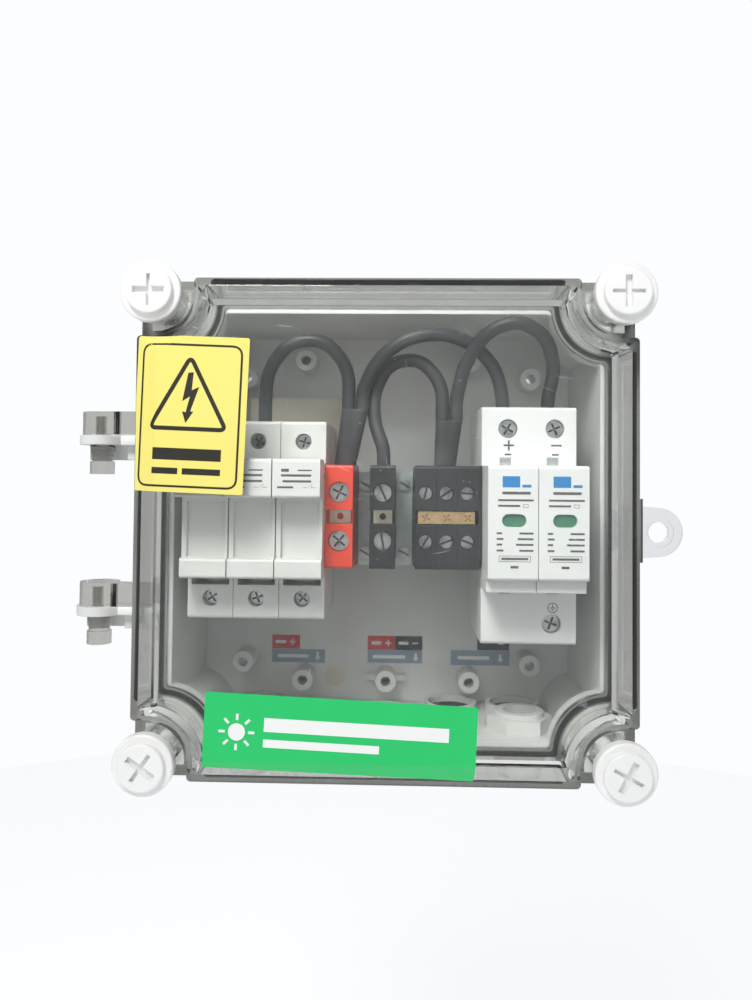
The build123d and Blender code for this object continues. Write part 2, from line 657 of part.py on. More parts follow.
def terminal_body(x):
    """A screw terminal pole with feet on the rail and a window over its current bar."""
    body = block(x, (RAIL_Y, TERM_Y), (TERM_LOW, TERM_TOP))
    body = rounded(body, Axis.X, Axis.Y, 0, 1.2)
    body += block(x, (RAIL_Y, RAIL_Y - 10), (RAIL_LOW - 2.3, RAIL_TOP + 2.3))
    body += hook_top(x) + hook_low(x)
    centre, half = sum(x) / 2, (x[1] - x[0]) / 2 - 1.2
    body -= block((x[0] - 1, x[1] + 1), (BAR_Y, TERM_Y - 1), WINDOW_Z)
    bar_slot = (SCREW_ROWS[1] - 4, SCREW_ROWS[0] + 4)
    body -= block((centre - half, centre + half), (BAR_Y + 1.5, BAR_Y), bar_slot)
    for z in SCREW_ROWS:
        body -= rod_y(centre, z, half - 0.1, (BAR_Y - 2.4, TERM_Y - 1))
        body -= rod_y(centre, z, 1.8, (BAR_Y + 0.1, BAR_Y - 3))
    for z in ((TERM_TOP - 6, TERM_TOP + 1), (TERM_LOW - 1, TERM_LOW + 6)):
        body -= rod_z(centre, TERM_ENTRY_Y, min(WIRE_R, half) - 0.2, z)
    return body


def terminal_poles():
    """Left and right edges of every terminal pole, from left to right."""
    blocks = [(BLOCK_LEFT + i * BLOCK_PITCH, BLOCK_LEFT + (i + 1) * BLOCK_PITCH) for i in range(3)]
    return [RED_POLE, BLACK_POLE] + blocks


def terminal_bar(x):
    """The current bar that joins a pole's two screws."""
    centre, half = sum(x) / 2, (x[1] - x[0]) / 2 - 1.25
    tall = (SCREW_ROWS[1] - 3.8, SCREW_ROWS[0] + 3.8)
    bar = block((centre - half, centre + half), (BAR_Y + 1.45, BAR_Y), tall)
    return bar - rod_y(centre, sum(WINDOW_Z) / 2, 1.3, (BAR_Y + 2, BAR_Y - 1))


def terminal_screws():
    """Two clamping screws in each pole."""
    made = []
    for number, x in enumerate(terminal_poles()):
        centre, half = sum(x) / 2, (x[1] - x[0]) / 2 - 1.2
        for row, z in enumerate(SCREW_ROWS):
            sizes = (half - 0.3, 2.2, 1.6, 2.4)
            kind = pan_screw if number == 0 else slot_screw
            made.append(kind(centre, z, BAR_Y - 2.4, *sizes, 25 + 40 * number + 15 * row))
    return Compound(children=made)


def end_plate():
    """The cover plate on the open side of the last block, with a cut corner."""
    left = BLOCK_LEFT + 3 * BLOCK_PITCH
    plate = block((left, left + END_PLATE_T), (RAIL_Y, TERM_Y), (TERM_LOW, TERM_TOP))
    corner = plate.edges().filter_by(Axis.X).group_by(Axis.Y)[0].sort_by(Axis.Z)[0]
    return chamfer(corner, 4.0)


def jumper():
    """The brass bridge across the three block poles, and its screws."""
    poles = terminal_poles()[2:]
    low, high = WINDOW_Z
    depth = (BAR_Y - 5.4, BAR_Y - 6.6)
    bar = block((poles[0][0] + 1.2, poles[-1][1] - 1.2), depth, (low + 0.3, high - 0.3))
    screws = []
    for x in poles:
        centre, z = sum(x) / 2, (low + high) / 2
        bar -= rod_y(centre, z, 1.5, (depth[0] + 1, depth[1] - 1))
        screws.append(pan_screw(centre, z, depth[1], 2.2, 1.4, 1.2, 6.5, 10 + centre))
    return bar, Compound(children=screws)


# ---- Wires ----

def cord_path(points):
    """Straight runs joined by tangent arcs, and the arcs' radii."""
    spots = [Vector(*p) for p in points]
    pieces, radii = [], []
    last = spots[0]
    for before, at, after in zip(spots, spots[1:], spots[2:]):
        into, out = (at - before).normalized(), (after - at).normalized()
        turn = math.radians(into.get_angle(out))
        run = 0.45 * min((at - before).length, (after - at).length)
        radius = run / math.tan(turn / 2)
        start, end = at - into * run, at + out * run
        inward = (out - into).normalized()
        middle = at + inward * (radius / math.cos(turn / 2) - radius)
        pieces += [Line(last, start), ThreePointArc(start, middle, end)]
        radii.append(round(radius, 1))
        last = end
    pieces.append(Line(last, spots[-1]))
    return Wire(pieces), radii


def wire(name, points):
    """A black single-core wire along a hand-chosen route."""
    path, radii = cord_path(points)
    first = Vector(*points[1]) - Vector(*points[0])
    section = Plane(origin=points[0], z_dir=tuple(first)) * Circle(WIRE_R)
    made = sweep(section, path=path)
    share = made.volume / (math.pi * WIRE_R ** 2 * path.length)
    print(name, "radii", radii, "length", round(path.length, 1), "volume share", round(share, 4))
    return made


def sleeve(foot, head, top):
    """A heat-shrunk sleeve over two wires, narrower where it meets a terminal."""
    lower = Plane(origin=(foot, TERM_ENTRY_Y, TERM_TOP)) * RectangleRounded(8.8, 5.6, 2.6)
    upper = Plane(origin=(head, TERM_ENTRY_Y, top)) * RectangleRounded(11.0, 6.0, 2.8)
    return loft([lower, upper], ruled=True)


WIRE_SIDE = WIRE_R + 0.05
RED_FOOT = sum(RED_POLE) / 2 + 1.2
RED_HEAD = RED_FOOT + 3.95
BLACK_X = sum(BLACK_POLE) / 2
BLOCK_FOOT = BLOCK_LEFT + 1.5 * BLOCK_PITCH
BLOCK_HEAD = BLOCK_FOOT + 1.6
RED_SLEEVE_TOP = TERM_TOP + 22.7
BLOCK_SLEEVE_TOP = TERM_TOP + 18.3
FUSE_ENTRY_Z = FUSE_TOP - 6
SPD_ENTRY_Z = SPD_TOP - 6
SPD_IN = spd_screws()

# Each route starts and ends square to the face that its wire meets
ROUTES = {
    "wire_fuse_to_red": [
        (FUSE_POLES[1], ENTRY_Y, FUSE_ENTRY_Z), (FUSE_POLES[1], ENTRY_Y, FUSE_ENTRY_Z + 13),
        (-48.2, -54.3, 61.5), (-38.4, -57.5, 72.8), (-24.6, -57.8, 73.2),
        (RED_HEAD - WIRE_SIDE, TERM_ENTRY_Y, 62.4), (RED_HEAD - WIRE_SIDE, TERM_ENTRY_Y, RED_SLEEVE_TOP)],
    "wire_red_to_spd": [
        (RED_HEAD + WIRE_SIDE, TERM_ENTRY_Y, RED_SLEEVE_TOP),
        (RED_HEAD + WIRE_SIDE, TERM_ENTRY_Y, RED_SLEEVE_TOP + 7.6),
        (-3.6, -59.6, 65.6), (8.0, -62.6, 73.6), (22.0, -62.4, 75.4), (34.2, -59.0, 71.4),
        (43.4, -54.6, 62.4),
        (SPD_IN[0][0], ENTRY_Y, SPD_ENTRY_Z + 11.5), (SPD_IN[0][0], ENTRY_Y, SPD_ENTRY_Z)],
    "wire_black_to_block": [
        (BLACK_X, TERM_ENTRY_Y, TERM_TOP), (BLACK_X, TERM_ENTRY_Y, TERM_TOP + 6.9),
        (-5.3, -51.0, 41.6), (-5.2, -50.0, 54.0), (0.9, -52.0, 65.0), (13.0, -53.6, 66.6),
        (BLOCK_HEAD - WIRE_SIDE, TERM_ENTRY_Y, 56.4),
        (BLOCK_HEAD - WIRE_SIDE, TERM_ENTRY_Y, BLOCK_SLEEVE_TOP)],
    "wire_block_to_spd": [
        (BLOCK_HEAD + WIRE_SIDE, TERM_ENTRY_Y, BLOCK_SLEEVE_TOP),
        (BLOCK_HEAD + WIRE_SIDE, TERM_ENTRY_Y, BLOCK_SLEEVE_TOP + 8.4),
        (30.4, -62.0, 64.0), (38.2, -68.0, 75.0), (50.0, -70.4, 79.2), (61.4, -65.6, 73.6),
        (66.2, -57.2, 62.2),
        (SPD_IN[1][0], ENTRY_Y, SPD_ENTRY_Z + 10.5), (SPD_IN[1][0], ENTRY_Y, SPD_ENTRY_Z)],
}


# ---- Glands and labels ----

def gland_body(x):
    """A compact nylon gland body: thread through the floor and a hexagon under it."""
    seat = -BASE_HALF - 1.2
    body = rod_z(x, GLAND_Y, THREAD_GLAND_R - 0.2, (seat - 1, FLOOR_Z + 7.5))
    body += hex_z(x, GLAND_Y, 24, (seat - 5, seat))
    return body - rod_z(x, GLAND_Y, 6.6, (seat - 6, FLOOR_Z + 8))


def gland_nut(x):
    """The lock nut on the inner end of a gland's thread."""
    nut = hex_z(x, GLAND_Y, 23, (FLOOR_Z, FLOOR_Z + 5.5))
    return nut - rod_z(x, GLAND_Y, THREAD_GLAND_R - 0.1, (FLOOR_Z - 1, FLOOR_Z + 7))


def gland_dome(x):
    """The domed nut that squeezes the seal round a cable."""
    top = -BASE_HALF - 6.2
    dome = Pos(x, GLAND_Y, top - 5.5) * Cone(8.5, 11.6, 11)
    bore = rod_z(x, GLAND_Y, GLAND_BORE_R + 0.8, (top + 1, top - 12))
    return dome - bore - rod_z(x, GLAND_Y, 6.6, (top + 1, top - 8))


def gland_seals():
    """The flat washers outside the floor and the seal inserts inside the domes."""
    made = []
    for x in GLAND_X:
        under = -BASE_HALF - 1.2
        washer = rod_z(x, GLAND_Y, 12.0, (under, -BASE_HALF))
        made.append(washer - rod_z(x, GLAND_Y, THREAD_GLAND_R - 0.1, (under - 1, -BASE_HALF + 1)))
        insert = rod_z(x, GLAND_Y, 6.5, (under - 12.9, under - 1))
        made.append(insert - rod_z(x, GLAND_Y, GLAND_BORE_R, (under - 14, under)))
    return Compound(children=made)


def knockout_plugs():
    """Dark rubber plugs in the spare floor holes."""
    made = []
    for x in COLLAR_X:
        plug = rod_z(x, COLLAR_Y, COLLAR_R - 0.1, (-BASE_HALF, FLOOR_Z + 1.2))
        made.append(plug + rod_z(x, COLLAR_Y, COLLAR_R + 1.4, (-BASE_HALF - 1.6, -BASE_HALF)))
    return Compound(children=made)


def panel_sticker(x, z):
    """A thin marking sticker on the back panel."""
    return block(x, (PANEL_Y, PANEL_Y - 0.2), z)


def wiring_labels():
    """Polarity stickers with their arrows' strips, and the round inspection dot."""
    made = [
        panel_sticker((-52.4, -39.6), (-59.9, -53.7)), panel_sticker((-52.4, -28.0), (-66.2, -60.1)),
        panel_sticker((-8.4, 3.9), (-59.9, -53.5)), panel_sticker((4.0, 16.6), (-59.9, -53.5)),
        panel_sticker((-8.4, 16.6), (-65.8, -60.1)), panel_sticker((41.7, 56.2), (-59.3, -53.3)),
        panel_sticker((29.6, 56.4), (-66.2, -59.5)), rod_y(-23.2, -72.1, 4.6, (PANEL_Y, PANEL_Y - 0.2)),
    ]
    return Compound(children=made)


def group(make, places):
    """Identical pieces joined in one node as separate solids."""
    return Compound(children=[make(place) for place in places])


def build():
    """Every node of the box by name."""
    poles = terminal_poles()
    bridge, bridge_screws = jumper()
    nodes = {
        "enclosure_base": enclosure_base(),
        "lid_gasket": lid_gasket(),
        "hinge_pins": hinge_pins(),
        "lid": lid(),
        "warning_label": lid_label((-69.6, 40.2), (41.0, 55.6), -2.0),
        "name_label": lid_label((-15.0, -72.3), (95.3, 26.6), -2.4),
        "gland_bodies": group(gland_body, GLAND_X),
        "gland_locknuts": group(gland_nut, GLAND_X),
        "gland_dome_nuts": group(gland_dome, GLAND_X),
        "gland_seals": gland_seals(),
        "knockout_plugs": knockout_plugs(),
        "din_rail": din_rail(),
        "end_clamps": group(end_clamp, CLAMPS),
        "insulation_strip": block((-61.0, -19.5), (REAR_Y + 1.0, REAR_Y), (22.0, 54.0)),
        "wiring_labels": wiring_labels(),
        "fuse_contacts": Compound(children=[
            fuse_contact(x, up) for x in FUSE_POLES for up in (True, False)]),
        "fuse_terminal_screws": fuse_terminal_screws(),
        "red_terminal": terminal_body(RED_POLE),
        "black_terminals": group(terminal_body, poles[1:]),
        "block_end_plate": end_plate(),
        "terminal_bars": group(terminal_bar, poles),
        "terminal_screws": terminal_screws(),
        "jumper_bar": bridge,
        "jumper_screws": bridge_screws,
        "spd_base": spd_base(),
        "spd_sockets": spd_sockets(),
        "spd_terminal_screws": spd_terminal_screws(),
        "spd_rail_clip": rail_clip(SPD_LEFT + SPD_W / 2, 6.0, SPD_LOW),
        "wire_sleeves": Compound(children=[
            sleeve(RED_FOOT, RED_HEAD, RED_SLEEVE_TOP), sleeve(BLOCK_FOOT, BLOCK_HEAD, BLOCK_SLEEVE_TOP)]),
    }
    screws = [
        pan_screw(x, RAIL_Z, RAIL_BACK_Y - RAIL_T, 3.8, 2.6, 1.9, 10.0, x)
        for x in (-RAIL_BOSS_X, RAIL_BOSS_X)]
    clamp_rows = (RAIL_Z + 14.4, RAIL_Z - 14.4)
    screws += [
        slot_screw(sum(x) / 2, z, RAIL_Y - 8, 2.5, 1.8, 1.5, 0.0, 30)
        for x in CLAMPS for z in clamp_rows]
    nodes["rail_screws"] = Compound(children=screws)
    for number, x in enumerate(FUSE_POLES, 1):
        nodes[f"fuse_body_{number}"] = fuse_body(x)
        nodes[f"fuse_carrier_{number}"] = fuse_carrier(x)
        nodes[f"fuse_link_{number}"] = fuse_link(x)
        nodes[f"fuse_rail_clip_{number}"] = rail_clip(x, 4.0, FUSE_LOW)
    for number, x in enumerate(spd_centres(), 1):
        nodes[f"spd_module_{number}"] = spd_module(x)
        nodes[f"spd_flag_{number}"] = spd_flag(x)
        nodes[f"spd_blades_{number}"] = spd_blades(x)
    for number, ((x, z), turn) in enumerate(zip(SCREWS, (0, 90, 35, -62)), 1):
        nodes[f"lid_screw_{number}"] = lid_screw(x, z, turn)
        nodes[f"lid_screw_seal_{number}"] = screw_seal(x, z)
    for name, points in ROUTES.items():
        nodes[name] = wire(name, points)
    return nodes


os.makedirs("parts", exist_ok=True)
for node, shape in build().items():
    export_step(shape, f"parts/{node}.step")
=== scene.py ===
import bmesh
import bpy
import math
import random
from mathutils import Matrix, Vector, noise
from mathutils.bvhtree import BVHTree


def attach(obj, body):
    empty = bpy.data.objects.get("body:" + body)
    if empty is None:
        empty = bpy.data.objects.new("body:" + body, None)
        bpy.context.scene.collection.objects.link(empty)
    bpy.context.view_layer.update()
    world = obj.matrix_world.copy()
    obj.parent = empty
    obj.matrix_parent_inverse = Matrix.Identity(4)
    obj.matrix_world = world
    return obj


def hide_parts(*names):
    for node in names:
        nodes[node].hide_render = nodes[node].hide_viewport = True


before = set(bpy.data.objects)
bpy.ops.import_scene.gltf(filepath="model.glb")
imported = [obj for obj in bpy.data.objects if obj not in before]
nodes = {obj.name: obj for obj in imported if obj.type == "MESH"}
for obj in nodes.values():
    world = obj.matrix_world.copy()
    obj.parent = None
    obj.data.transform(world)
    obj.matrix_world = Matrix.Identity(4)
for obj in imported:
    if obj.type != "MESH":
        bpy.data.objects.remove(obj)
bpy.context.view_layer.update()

# ---- Camera ----
# A slightly wide lens a little under 40 cm from the wall, turned a little off square.
EYE = (0.0040, -0.3827, 0.0163)
YAW, PITCH, ROLL = 1.607, 1.679, -0.556
LENS_MM = 29.52
SHIFT = (0.0026, -0.0405)

camera_data = bpy.data.cameras.new("camera")
camera_data.lens = LENS_MM
camera_data.sensor_width = 36.0
camera_data.clip_start = 0.005
camera_data.clip_end = 20.0
camera = bpy.data.objects.new("camera", camera_data)
bpy.context.scene.collection.objects.link(camera)
camera_data.shift_x, camera_data.shift_y = SHIFT
turned = Matrix.Rotation(math.radians(YAW), 4, "Z")
turned = turned @ Matrix.Rotation(math.radians(PITCH), 4, "X")
turned = turned @ Matrix.Rotation(math.radians(ROLL), 4, "Y")
turned = turned @ Matrix.Rotation(math.radians(90), 4, "X")
camera.matrix_world = Matrix.Translation(EYE) @ turned
bpy.context.scene.camera = camera
bpy.context.scene.view_settings.view_transform = "Standard"

# ---- Studio ----
# An even white surround, one soft box high on the left in front, and a white floor
# far below the box, which hangs clear of it.
SKY_COLOUR = (0.97, 0.985, 1.0)
SKY = 0.52               # as a light
SKY_SEEN = 1.0           # behind the box, as the camera sees it
SKY_THROUGH = 0.5        # share of that which clear plastic passes on
KEY_PLACE = (-0.16, -0.55, 0.50)
KEY_AIM = (0.0, -0.07, 0.0)
KEY_SIZE = 0.20
KEY_POWER = 3.0
KEY_COLOUR = (1.0, 0.985, 0.96)
FLOOR_Z = -0.60
FLOOR_RADIUS = 1.6
FLOOR_GLOW = 0.45        # lifts the floor to the white of the surround


def add(tree, kind, links=None, **settings):
    """A node with its settings, and its inputs linked or given values by name."""
    made = tree.nodes.new(kind)
    for key, value in settings.items():
        setattr(made, key, value)
    for key, value in (links or {}).items():
        if isinstance(value, bpy.types.NodeSocket):
            tree.links.new(value, made.inputs[key])
        else:
            made.inputs[key].default_value = value
    return made


def formula(tree, operation, a, b=0.0):
    """One Math node's result."""
    return add(tree, "ShaderNodeMath", {0: a, 1: b}, operation=operation).outputs[0]


world = bpy.data.worlds.new("studio")
bpy.context.scene.world = world
world.use_nodes = True
sky_tree = world.node_tree
sky = sky_tree.nodes["Background"]
sky.inputs["Color"].default_value = (*SKY_COLOUR, 1)
ray = add(sky_tree, "ShaderNodeLightPath")
through = formula(sky_tree, "MULTIPLY", ray.outputs["Is Transmission Ray"], SKY_THROUGH)
seen = formula(sky_tree, "MAXIMUM", ray.outputs["Is Camera Ray"], through)
level = add(sky_tree, "ShaderNodeMapRange", {"Value": seen, "To Min": SKY, "To Max": SKY_SEEN})
sky_tree.links.new(level.outputs["Result"], sky.inputs["Strength"])


def lamp(name, place, aim, size, power, tint):
    """A square soft box at a place, turned to what it lights."""
    data = bpy.data.lights.new(name, "AREA")
    data.shape = "SQUARE"
    data.size = size
    data.energy = power
    data.color = tint
    made = bpy.data.objects.new(name, data)
    bpy.context.scene.collection.objects.link(made)
    made.location = place
    made.rotation_euler = (Vector(aim) - Vector(place)).to_track_quat("-Z", "Y").to_euler()
    return made


lamp("key_box", KEY_PLACE, KEY_AIM, KEY_SIZE, KEY_POWER, KEY_COLOUR)


def new_material(name):
    """A material, its node tree and its Principled shader."""
    made = bpy.data.materials.new(name)
    made.use_nodes = True
    tree = made.node_tree
    return made, tree, tree.nodes["Principled BSDF"]


def place_mesh(name, mesh_data, material, body):
    """A new piece from a filled bmesh, in the part's own frame, on one body."""
    mesh = bpy.data.meshes.new(name)
    mesh_data.to_mesh(mesh)
    mesh_data.free()
    made = bpy.data.objects.new(name, mesh)
    bpy.context.scene.collection.objects.link(made)
    made.data.materials.append(material)
    if body:
        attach(made, body)
    return made


floor_mat, _, floor_skin = new_material("pale_floor")
floor_skin.inputs["Base Color"].default_value = (0.95, 0.96, 0.97, 1)
floor_skin.inputs["Roughness"].default_value = 0.9
floor_skin.inputs["Emission Color"].default_value = (*SKY_COLOUR, 1)
floor_skin.inputs["Emission Strength"].default_value = FLOOR_GLOW
floor_shape = bmesh.new()
bmesh.ops.create_circle(floor_shape, cap_ends=True, radius=FLOOR_RADIUS, segments=96)
bmesh.ops.translate(floor_shape, vec=(0, 0, FLOOR_Z), verts=floor_shape.verts)
floor = place_mesh("floor", floor_shape, floor_mat, None)

# ---- White enclosure base ----
# An injection-moulded box in pale grey-white plastic with a fine satin skin.
# Dust lies on the faces that look up, and the corners of the mouldings are soft.


def shader_group(name, inputs, outputs):
    """An empty node group with named sockets: inputs are (name, kind, value)."""
    group = bpy.data.node_groups.new(name, "ShaderNodeTree")
    for label, kind, value in inputs:
        socket = group.interface.new_socket(label, in_out="INPUT", socket_type=kind)
        socket.default_value = value
    for label, kind in outputs:
        group.interface.new_socket(label, in_out="OUTPUT", socket_type=kind)
    return group, group.nodes.new("NodeGroupInput"), group.nodes.new("NodeGroupOutput")


def blend_colour(tree, factor, a, b):
    """Colour a where the factor is 0 and colour b where it is 1."""
    mix = add(tree, "ShaderNodeMix", {0: factor, 6: a, 7: b}, data_type="RGBA")
    return mix.outputs[2]


def cloud(tree, place, scale, detail):
    """A noise between 0 and 1."""
    made = add(tree, "ShaderNodeTexNoise", {"Vector": place, "Scale": scale, "Detail": detail})
    return made.outputs[0]


def object_place(tree):
    """Where a point lies on its object."""
    return add(tree, "ShaderNodeTexCoord").outputs["Object"]


def dress(tree, skin, use):
    """Gives a shader the colour, roughness and normal of a finish."""
    tree.links.new(use.outputs["Colour"], skin.inputs["Base Color"])
    tree.links.new(use.outputs["Roughness"], skin.inputs["Roughness"])
    tree.links.new(use.outputs["Normal"], skin.inputs["Normal"])


def steps(tree, value, low, high, to_low=0.0, to_high=1.0):
    """A value carried smoothly from one range to another, and held at its ends."""
    made = add(
        tree, "ShaderNodeMapRange", {0: value, 1: low, 2: high, 3: to_low, 4: to_high},
        interpolation_type="SMOOTHSTEP",
    )
    return made.outputs[0]


COLOUR, VALUE, VECTOR = "NodeSocketColor", "NodeSocketFloat", "NodeSocketVector"

# Moulded skin: cloudy shade, spark-eroded grain, dust on what looks up, soft edges
moulded, m_in, m_out = shader_group(
    "moulded_skin",
    [("Colour", COLOUR, (0.8, 0.8, 0.8, 1)), ("Stain", COLOUR, (0.5, 0.5, 0.48, 1)),
     ("Cloud", VALUE, 0.15), ("Dust", VALUE, 0.3), ("Grain", VALUE, 0.15), ("Gloss", VALUE, 0.4),
     ("Edge", VALUE, 0.0003)],
    [("Colour", COLOUR), ("Roughness", VALUE), ("Normal", VECTOR)],
)
m_place = object_place(moulded)
m_normal = add(moulded, "ShaderNodeNewGeometry").outputs["Normal"]
m_facing = add(moulded, "ShaderNodeSeparateXYZ", {0: m_normal})
m_broad = cloud(moulded, m_place, 38.0, 3.0)
m_specks = cloud(moulded, m_place, 620.0, 4.0)
m_fine = cloud(moulded, m_place, 3200.0, 2.0)
m_cloud = formula(moulded, "MULTIPLY", steps(moulded, m_broad, 0.35, 0.7), m_in.outputs["Cloud"])
m_level = steps(moulded, m_facing.outputs[2], 0.35, 0.95)
m_up = formula(moulded, "MULTIPLY", m_level, m_in.outputs["Dust"])
m_dusty = formula(moulded, "MULTIPLY", m_up, steps(moulded, m_specks, 0.3, 0.62, 0.35, 1.0))
m_base = blend_colour(moulded, m_cloud, m_in.outputs["Colour"], m_in.outputs["Stain"])
m_shade = blend_colour(moulded, m_dusty, m_base, m_in.outputs["Stain"])
moulded.links.new(m_shade, m_out.inputs["Colour"])
m_uneven = formula(moulded, "MULTIPLY", m_specks, 0.16)
m_rough = formula(moulded, "ADD", m_in.outputs["Gloss"], m_uneven)
m_matte = formula(moulded, "ADD", m_rough, formula(moulded, "MULTIPLY", m_dusty, 0.3))
moulded.links.new(m_matte, m_out.inputs["Roughness"])
m_edge = add(moulded, "ShaderNodeBevel", {"Radius": m_in.outputs["Edge"]}, samples=4)
m_bump = add(
    moulded, "ShaderNodeBump",
    {"Strength": m_in.outputs["Grain"], "Distance": 0.00006, "Height": m_fine,
     "Normal": m_edge.outputs[0]},
)
moulded.links.new(m_bump.outputs[0], m_out.inputs["Normal"])


def moulded_plastic(name, colour, stain, soiling, dust, grain, gloss, edge):
    """A plastic with the moulded skin, and its tree and shader for later changes."""
    made, tree, skin = new_material(name)
    given = {
        "Colour": (*colour, 1), "Stain": (*stain, 1), "Cloud": soiling, "Dust": dust,
        "Grain": grain, "Gloss": gloss, "Edge": edge,
    }
    dress(tree, skin, add(tree, "ShaderNodeGroup", given, node_tree=moulded))
    return made, tree, skin


def finish_with(material, *names):
    """Gives CAD pieces their finish."""
    for name in names:
        held = nodes[name].data.materials
        held.clear()
        held.append(material)


base_white, _, base_skin = moulded_plastic(
    "enclosure_white", (0.80, 0.815, 0.805), (0.46, 0.46, 0.43), 0.16, 0.30, 0.25, 0.36, 0.0005,
)
base_skin.inputs["Subsurface Weight"].default_value = 0.04
base_skin.inputs["Subsurface Radius"].default_value = (0.002, 0.002, 0.002)
finish_with(base_white, "enclosure_base")

# ---- Lid gasket ----
# A dark sponge cord laid in the groove of the base's rim.
gasket_black, _, _ = moulded_plastic(
    "gasket_sponge", (0.045, 0.047, 0.055), (0.10, 0.10, 0.10), 0.5, 0.1, 0.9, 0.75, 0.0002,
)
finish_with(gasket_black, "lid_gasket")

# ---- Clear lid ----
# One moulding in smoky clear polycarbonate, polished on the window. Fine scratches
# scatter light, and a lamp's light passes through to what is inside.
LID_TINT = (0.85, 0.86, 0.845)
# Painted shade: the lid beyond the window's edge (its sloping band, side walls and hinge tabs) is
# tinted darker, for how it looks seen at a slant.
RIM_PAINTED_SHADE = (0.62, 0.61, 0.58)
LUG_TINT = (0.95, 0.96, 0.965)
LUG_OPEN = 0.65          # how far the thin lug lets straight light by
RIM_INNER, RIM_OUTER = 0.0865, 0.0925
LAMP_SHARE = (0.94, 0.95, 0.95)

clear_group, c_in, c_out = shader_group(
    "polished_clear",
    [("Rub", VALUE, 0.1), ("Wave", VALUE, 0.2)],
    [("Roughness", VALUE), ("Normal", VECTOR), ("Rim Shade", VALUE), ("Lug", VALUE)],
)
c_place = object_place(clear_group)
c_flow = cloud(clear_group, c_place, 26.0, 1.0)
c_stretch = add(
    clear_group, "ShaderNodeMapping",
    {"Vector": c_place, "Rotation": (0, 0.5, 0), "Scale": (9, 1, 90)},
)
c_rub = cloud(clear_group, c_stretch.outputs[0], 22.0, 5.0)
c_mask = formula(clear_group, "MULTIPLY", steps(clear_group, c_rub, 0.5, 0.75), c_in.outputs["Rub"])
clear_group.links.new(formula(clear_group, "ADD", c_mask, 0.02), c_out.inputs["Roughness"])
c_bump = add(
    clear_group, "ShaderNodeBump",
    {"Strength": c_in.outputs["Wave"], "Distance": 0.0006, "Height": c_flow},
)
clear_group.links.new(c_bump.outputs[0], c_out.inputs["Normal"])
c_parts = add(clear_group, "ShaderNodeSeparateXYZ", {0: c_place})
c_wide = formula(clear_group, "ABSOLUTE", c_parts.outputs[0])
c_tall = formula(clear_group, "ABSOLUTE", c_parts.outputs[2])
c_reach = formula(clear_group, "MAXIMUM", c_wide, c_tall)
c_rim_shade = steps(clear_group, c_reach, RIM_INNER, RIM_INNER + 0.001)
clear_group.links.new(c_rim_shade, c_out.inputs["Rim Shade"])
c_lug = steps(clear_group, c_parts.outputs[0], RIM_OUTER, RIM_OUTER + 0.001)
clear_group.links.new(c_lug, c_out.inputs["Lug"])


def clear_plastic(name, tint, lamp_share, rub, wave, ior=1.5):
    """A clear moulding that shows what is behind it and lets lamps through."""
    made, tree, skin = new_material(name)
    use = add(tree, "ShaderNodeGroup", {"Rub": rub, "Wave": wave}, node_tree=clear_group)
    # The rim beyond the window takes the darker colour as painted shade.
    rim = blend_colour(tree, use.outputs["Rim Shade"], (*tint, 1), (*RIM_PAINTED_SHADE, 1))
    shade = blend_colour(tree, use.outputs["Lug"], rim, (*LUG_TINT, 1))
    tree.links.new(shade, skin.inputs["Base Color"])
    skin.inputs["Specular IOR Level"].default_value = 0.3
    skin.inputs["Transmission Weight"].default_value = 1.0
    skin.inputs["IOR"].default_value = ior
    tree.links.new(use.outputs["Roughness"], skin.inputs["Roughness"])
    tree.links.new(use.outputs["Normal"], skin.inputs["Normal"])
    rays = add(tree, "ShaderNodeLightPath")
    through = add(tree, "ShaderNodeBsdfTransparent", {"Color": (*lamp_share, 1)})
    clear = formula(tree, "MULTIPLY", use.outputs["Lug"], LUG_OPEN)
    passed = formula(tree, "MAXIMUM", rays.outputs["Is Shadow Ray"], clear)
    mix = add(tree, "ShaderNodeMixShader", {0: passed, 1: skin.outputs[0], 2: through.outputs[0]})
    tree.links.new(mix.outputs[0], tree.nodes["Material Output"].inputs["Surface"])
    return made


lid_clear = clear_plastic("smoky_lid", LID_TINT, LAMP_SHARE, 0.12, 0.10)
finish_with(lid_clear, "lid")
pin_clear = clear_plastic("clear_pins", (0.72, 0.73, 0.71), (0.85, 0.85, 0.84), 0.3, 0.3)
finish_with(pin_clear, "hinge_pins")

# ---- Lid screws ----
# Captive screws in slightly translucent white nylon, over thin rubber washers.
nylon, _, nylon_skin = moulded_plastic(
    "nylon_white", (0.93, 0.94, 0.93), (0.70, 0.70, 0.66), 0.10, 0.05, 0.12, 0.30, 0.0004,
)
nylon_skin.inputs["Subsurface Weight"].default_value = 0.25
nylon_skin.inputs["Subsurface Radius"].default_value = (0.004, 0.004, 0.004)
finish_with(nylon, *[f"lid_screw_{n}" for n in range(1, 5)])
washer_rubber, _, _ = moulded_plastic(
    "washer_rubber", (0.05, 0.05, 0.05), (0.12, 0.12, 0.11), 0.4, 0.1, 0.3, 0.6, 0.0002,
)
finish_with(washer_rubber, *[f"lid_screw_seal_{n}" for n in range(1, 5)])

# ---- Labels on the lid ----
# Two vinyl stickers that follow the window and the sloping band. Their printing is
# a thin layer of ink laid over each sticker's own surface.
MM = 0.001
INK_LIFT = 0.00005
IN_FRONT = -0.3          # a place well in front of the whole box
LONGEST_EDGE = 0.0015    # of a printed layer, so that it follows a curved face
FINEST_CUTS = 6


def rounded_path(corners, radius, arc=6):
    """A closed path through corners, each turned with a small curve."""
    path = []
    for i, corner in enumerate(corners):
        here = Vector(corner)
        before = (Vector(corners[i - 1]) - here).normalized()
        after = (Vector(corners[(i + 1) % len(corners)]) - here).normalized()
        start, end = here + before * radius, here + after * radius
        for k in range(arc + 1):
            t = k / arc
            path.append(tuple(start * (1 - t) ** 2 + here * 2 * t * (1 - t) + end * t * t))
    return path


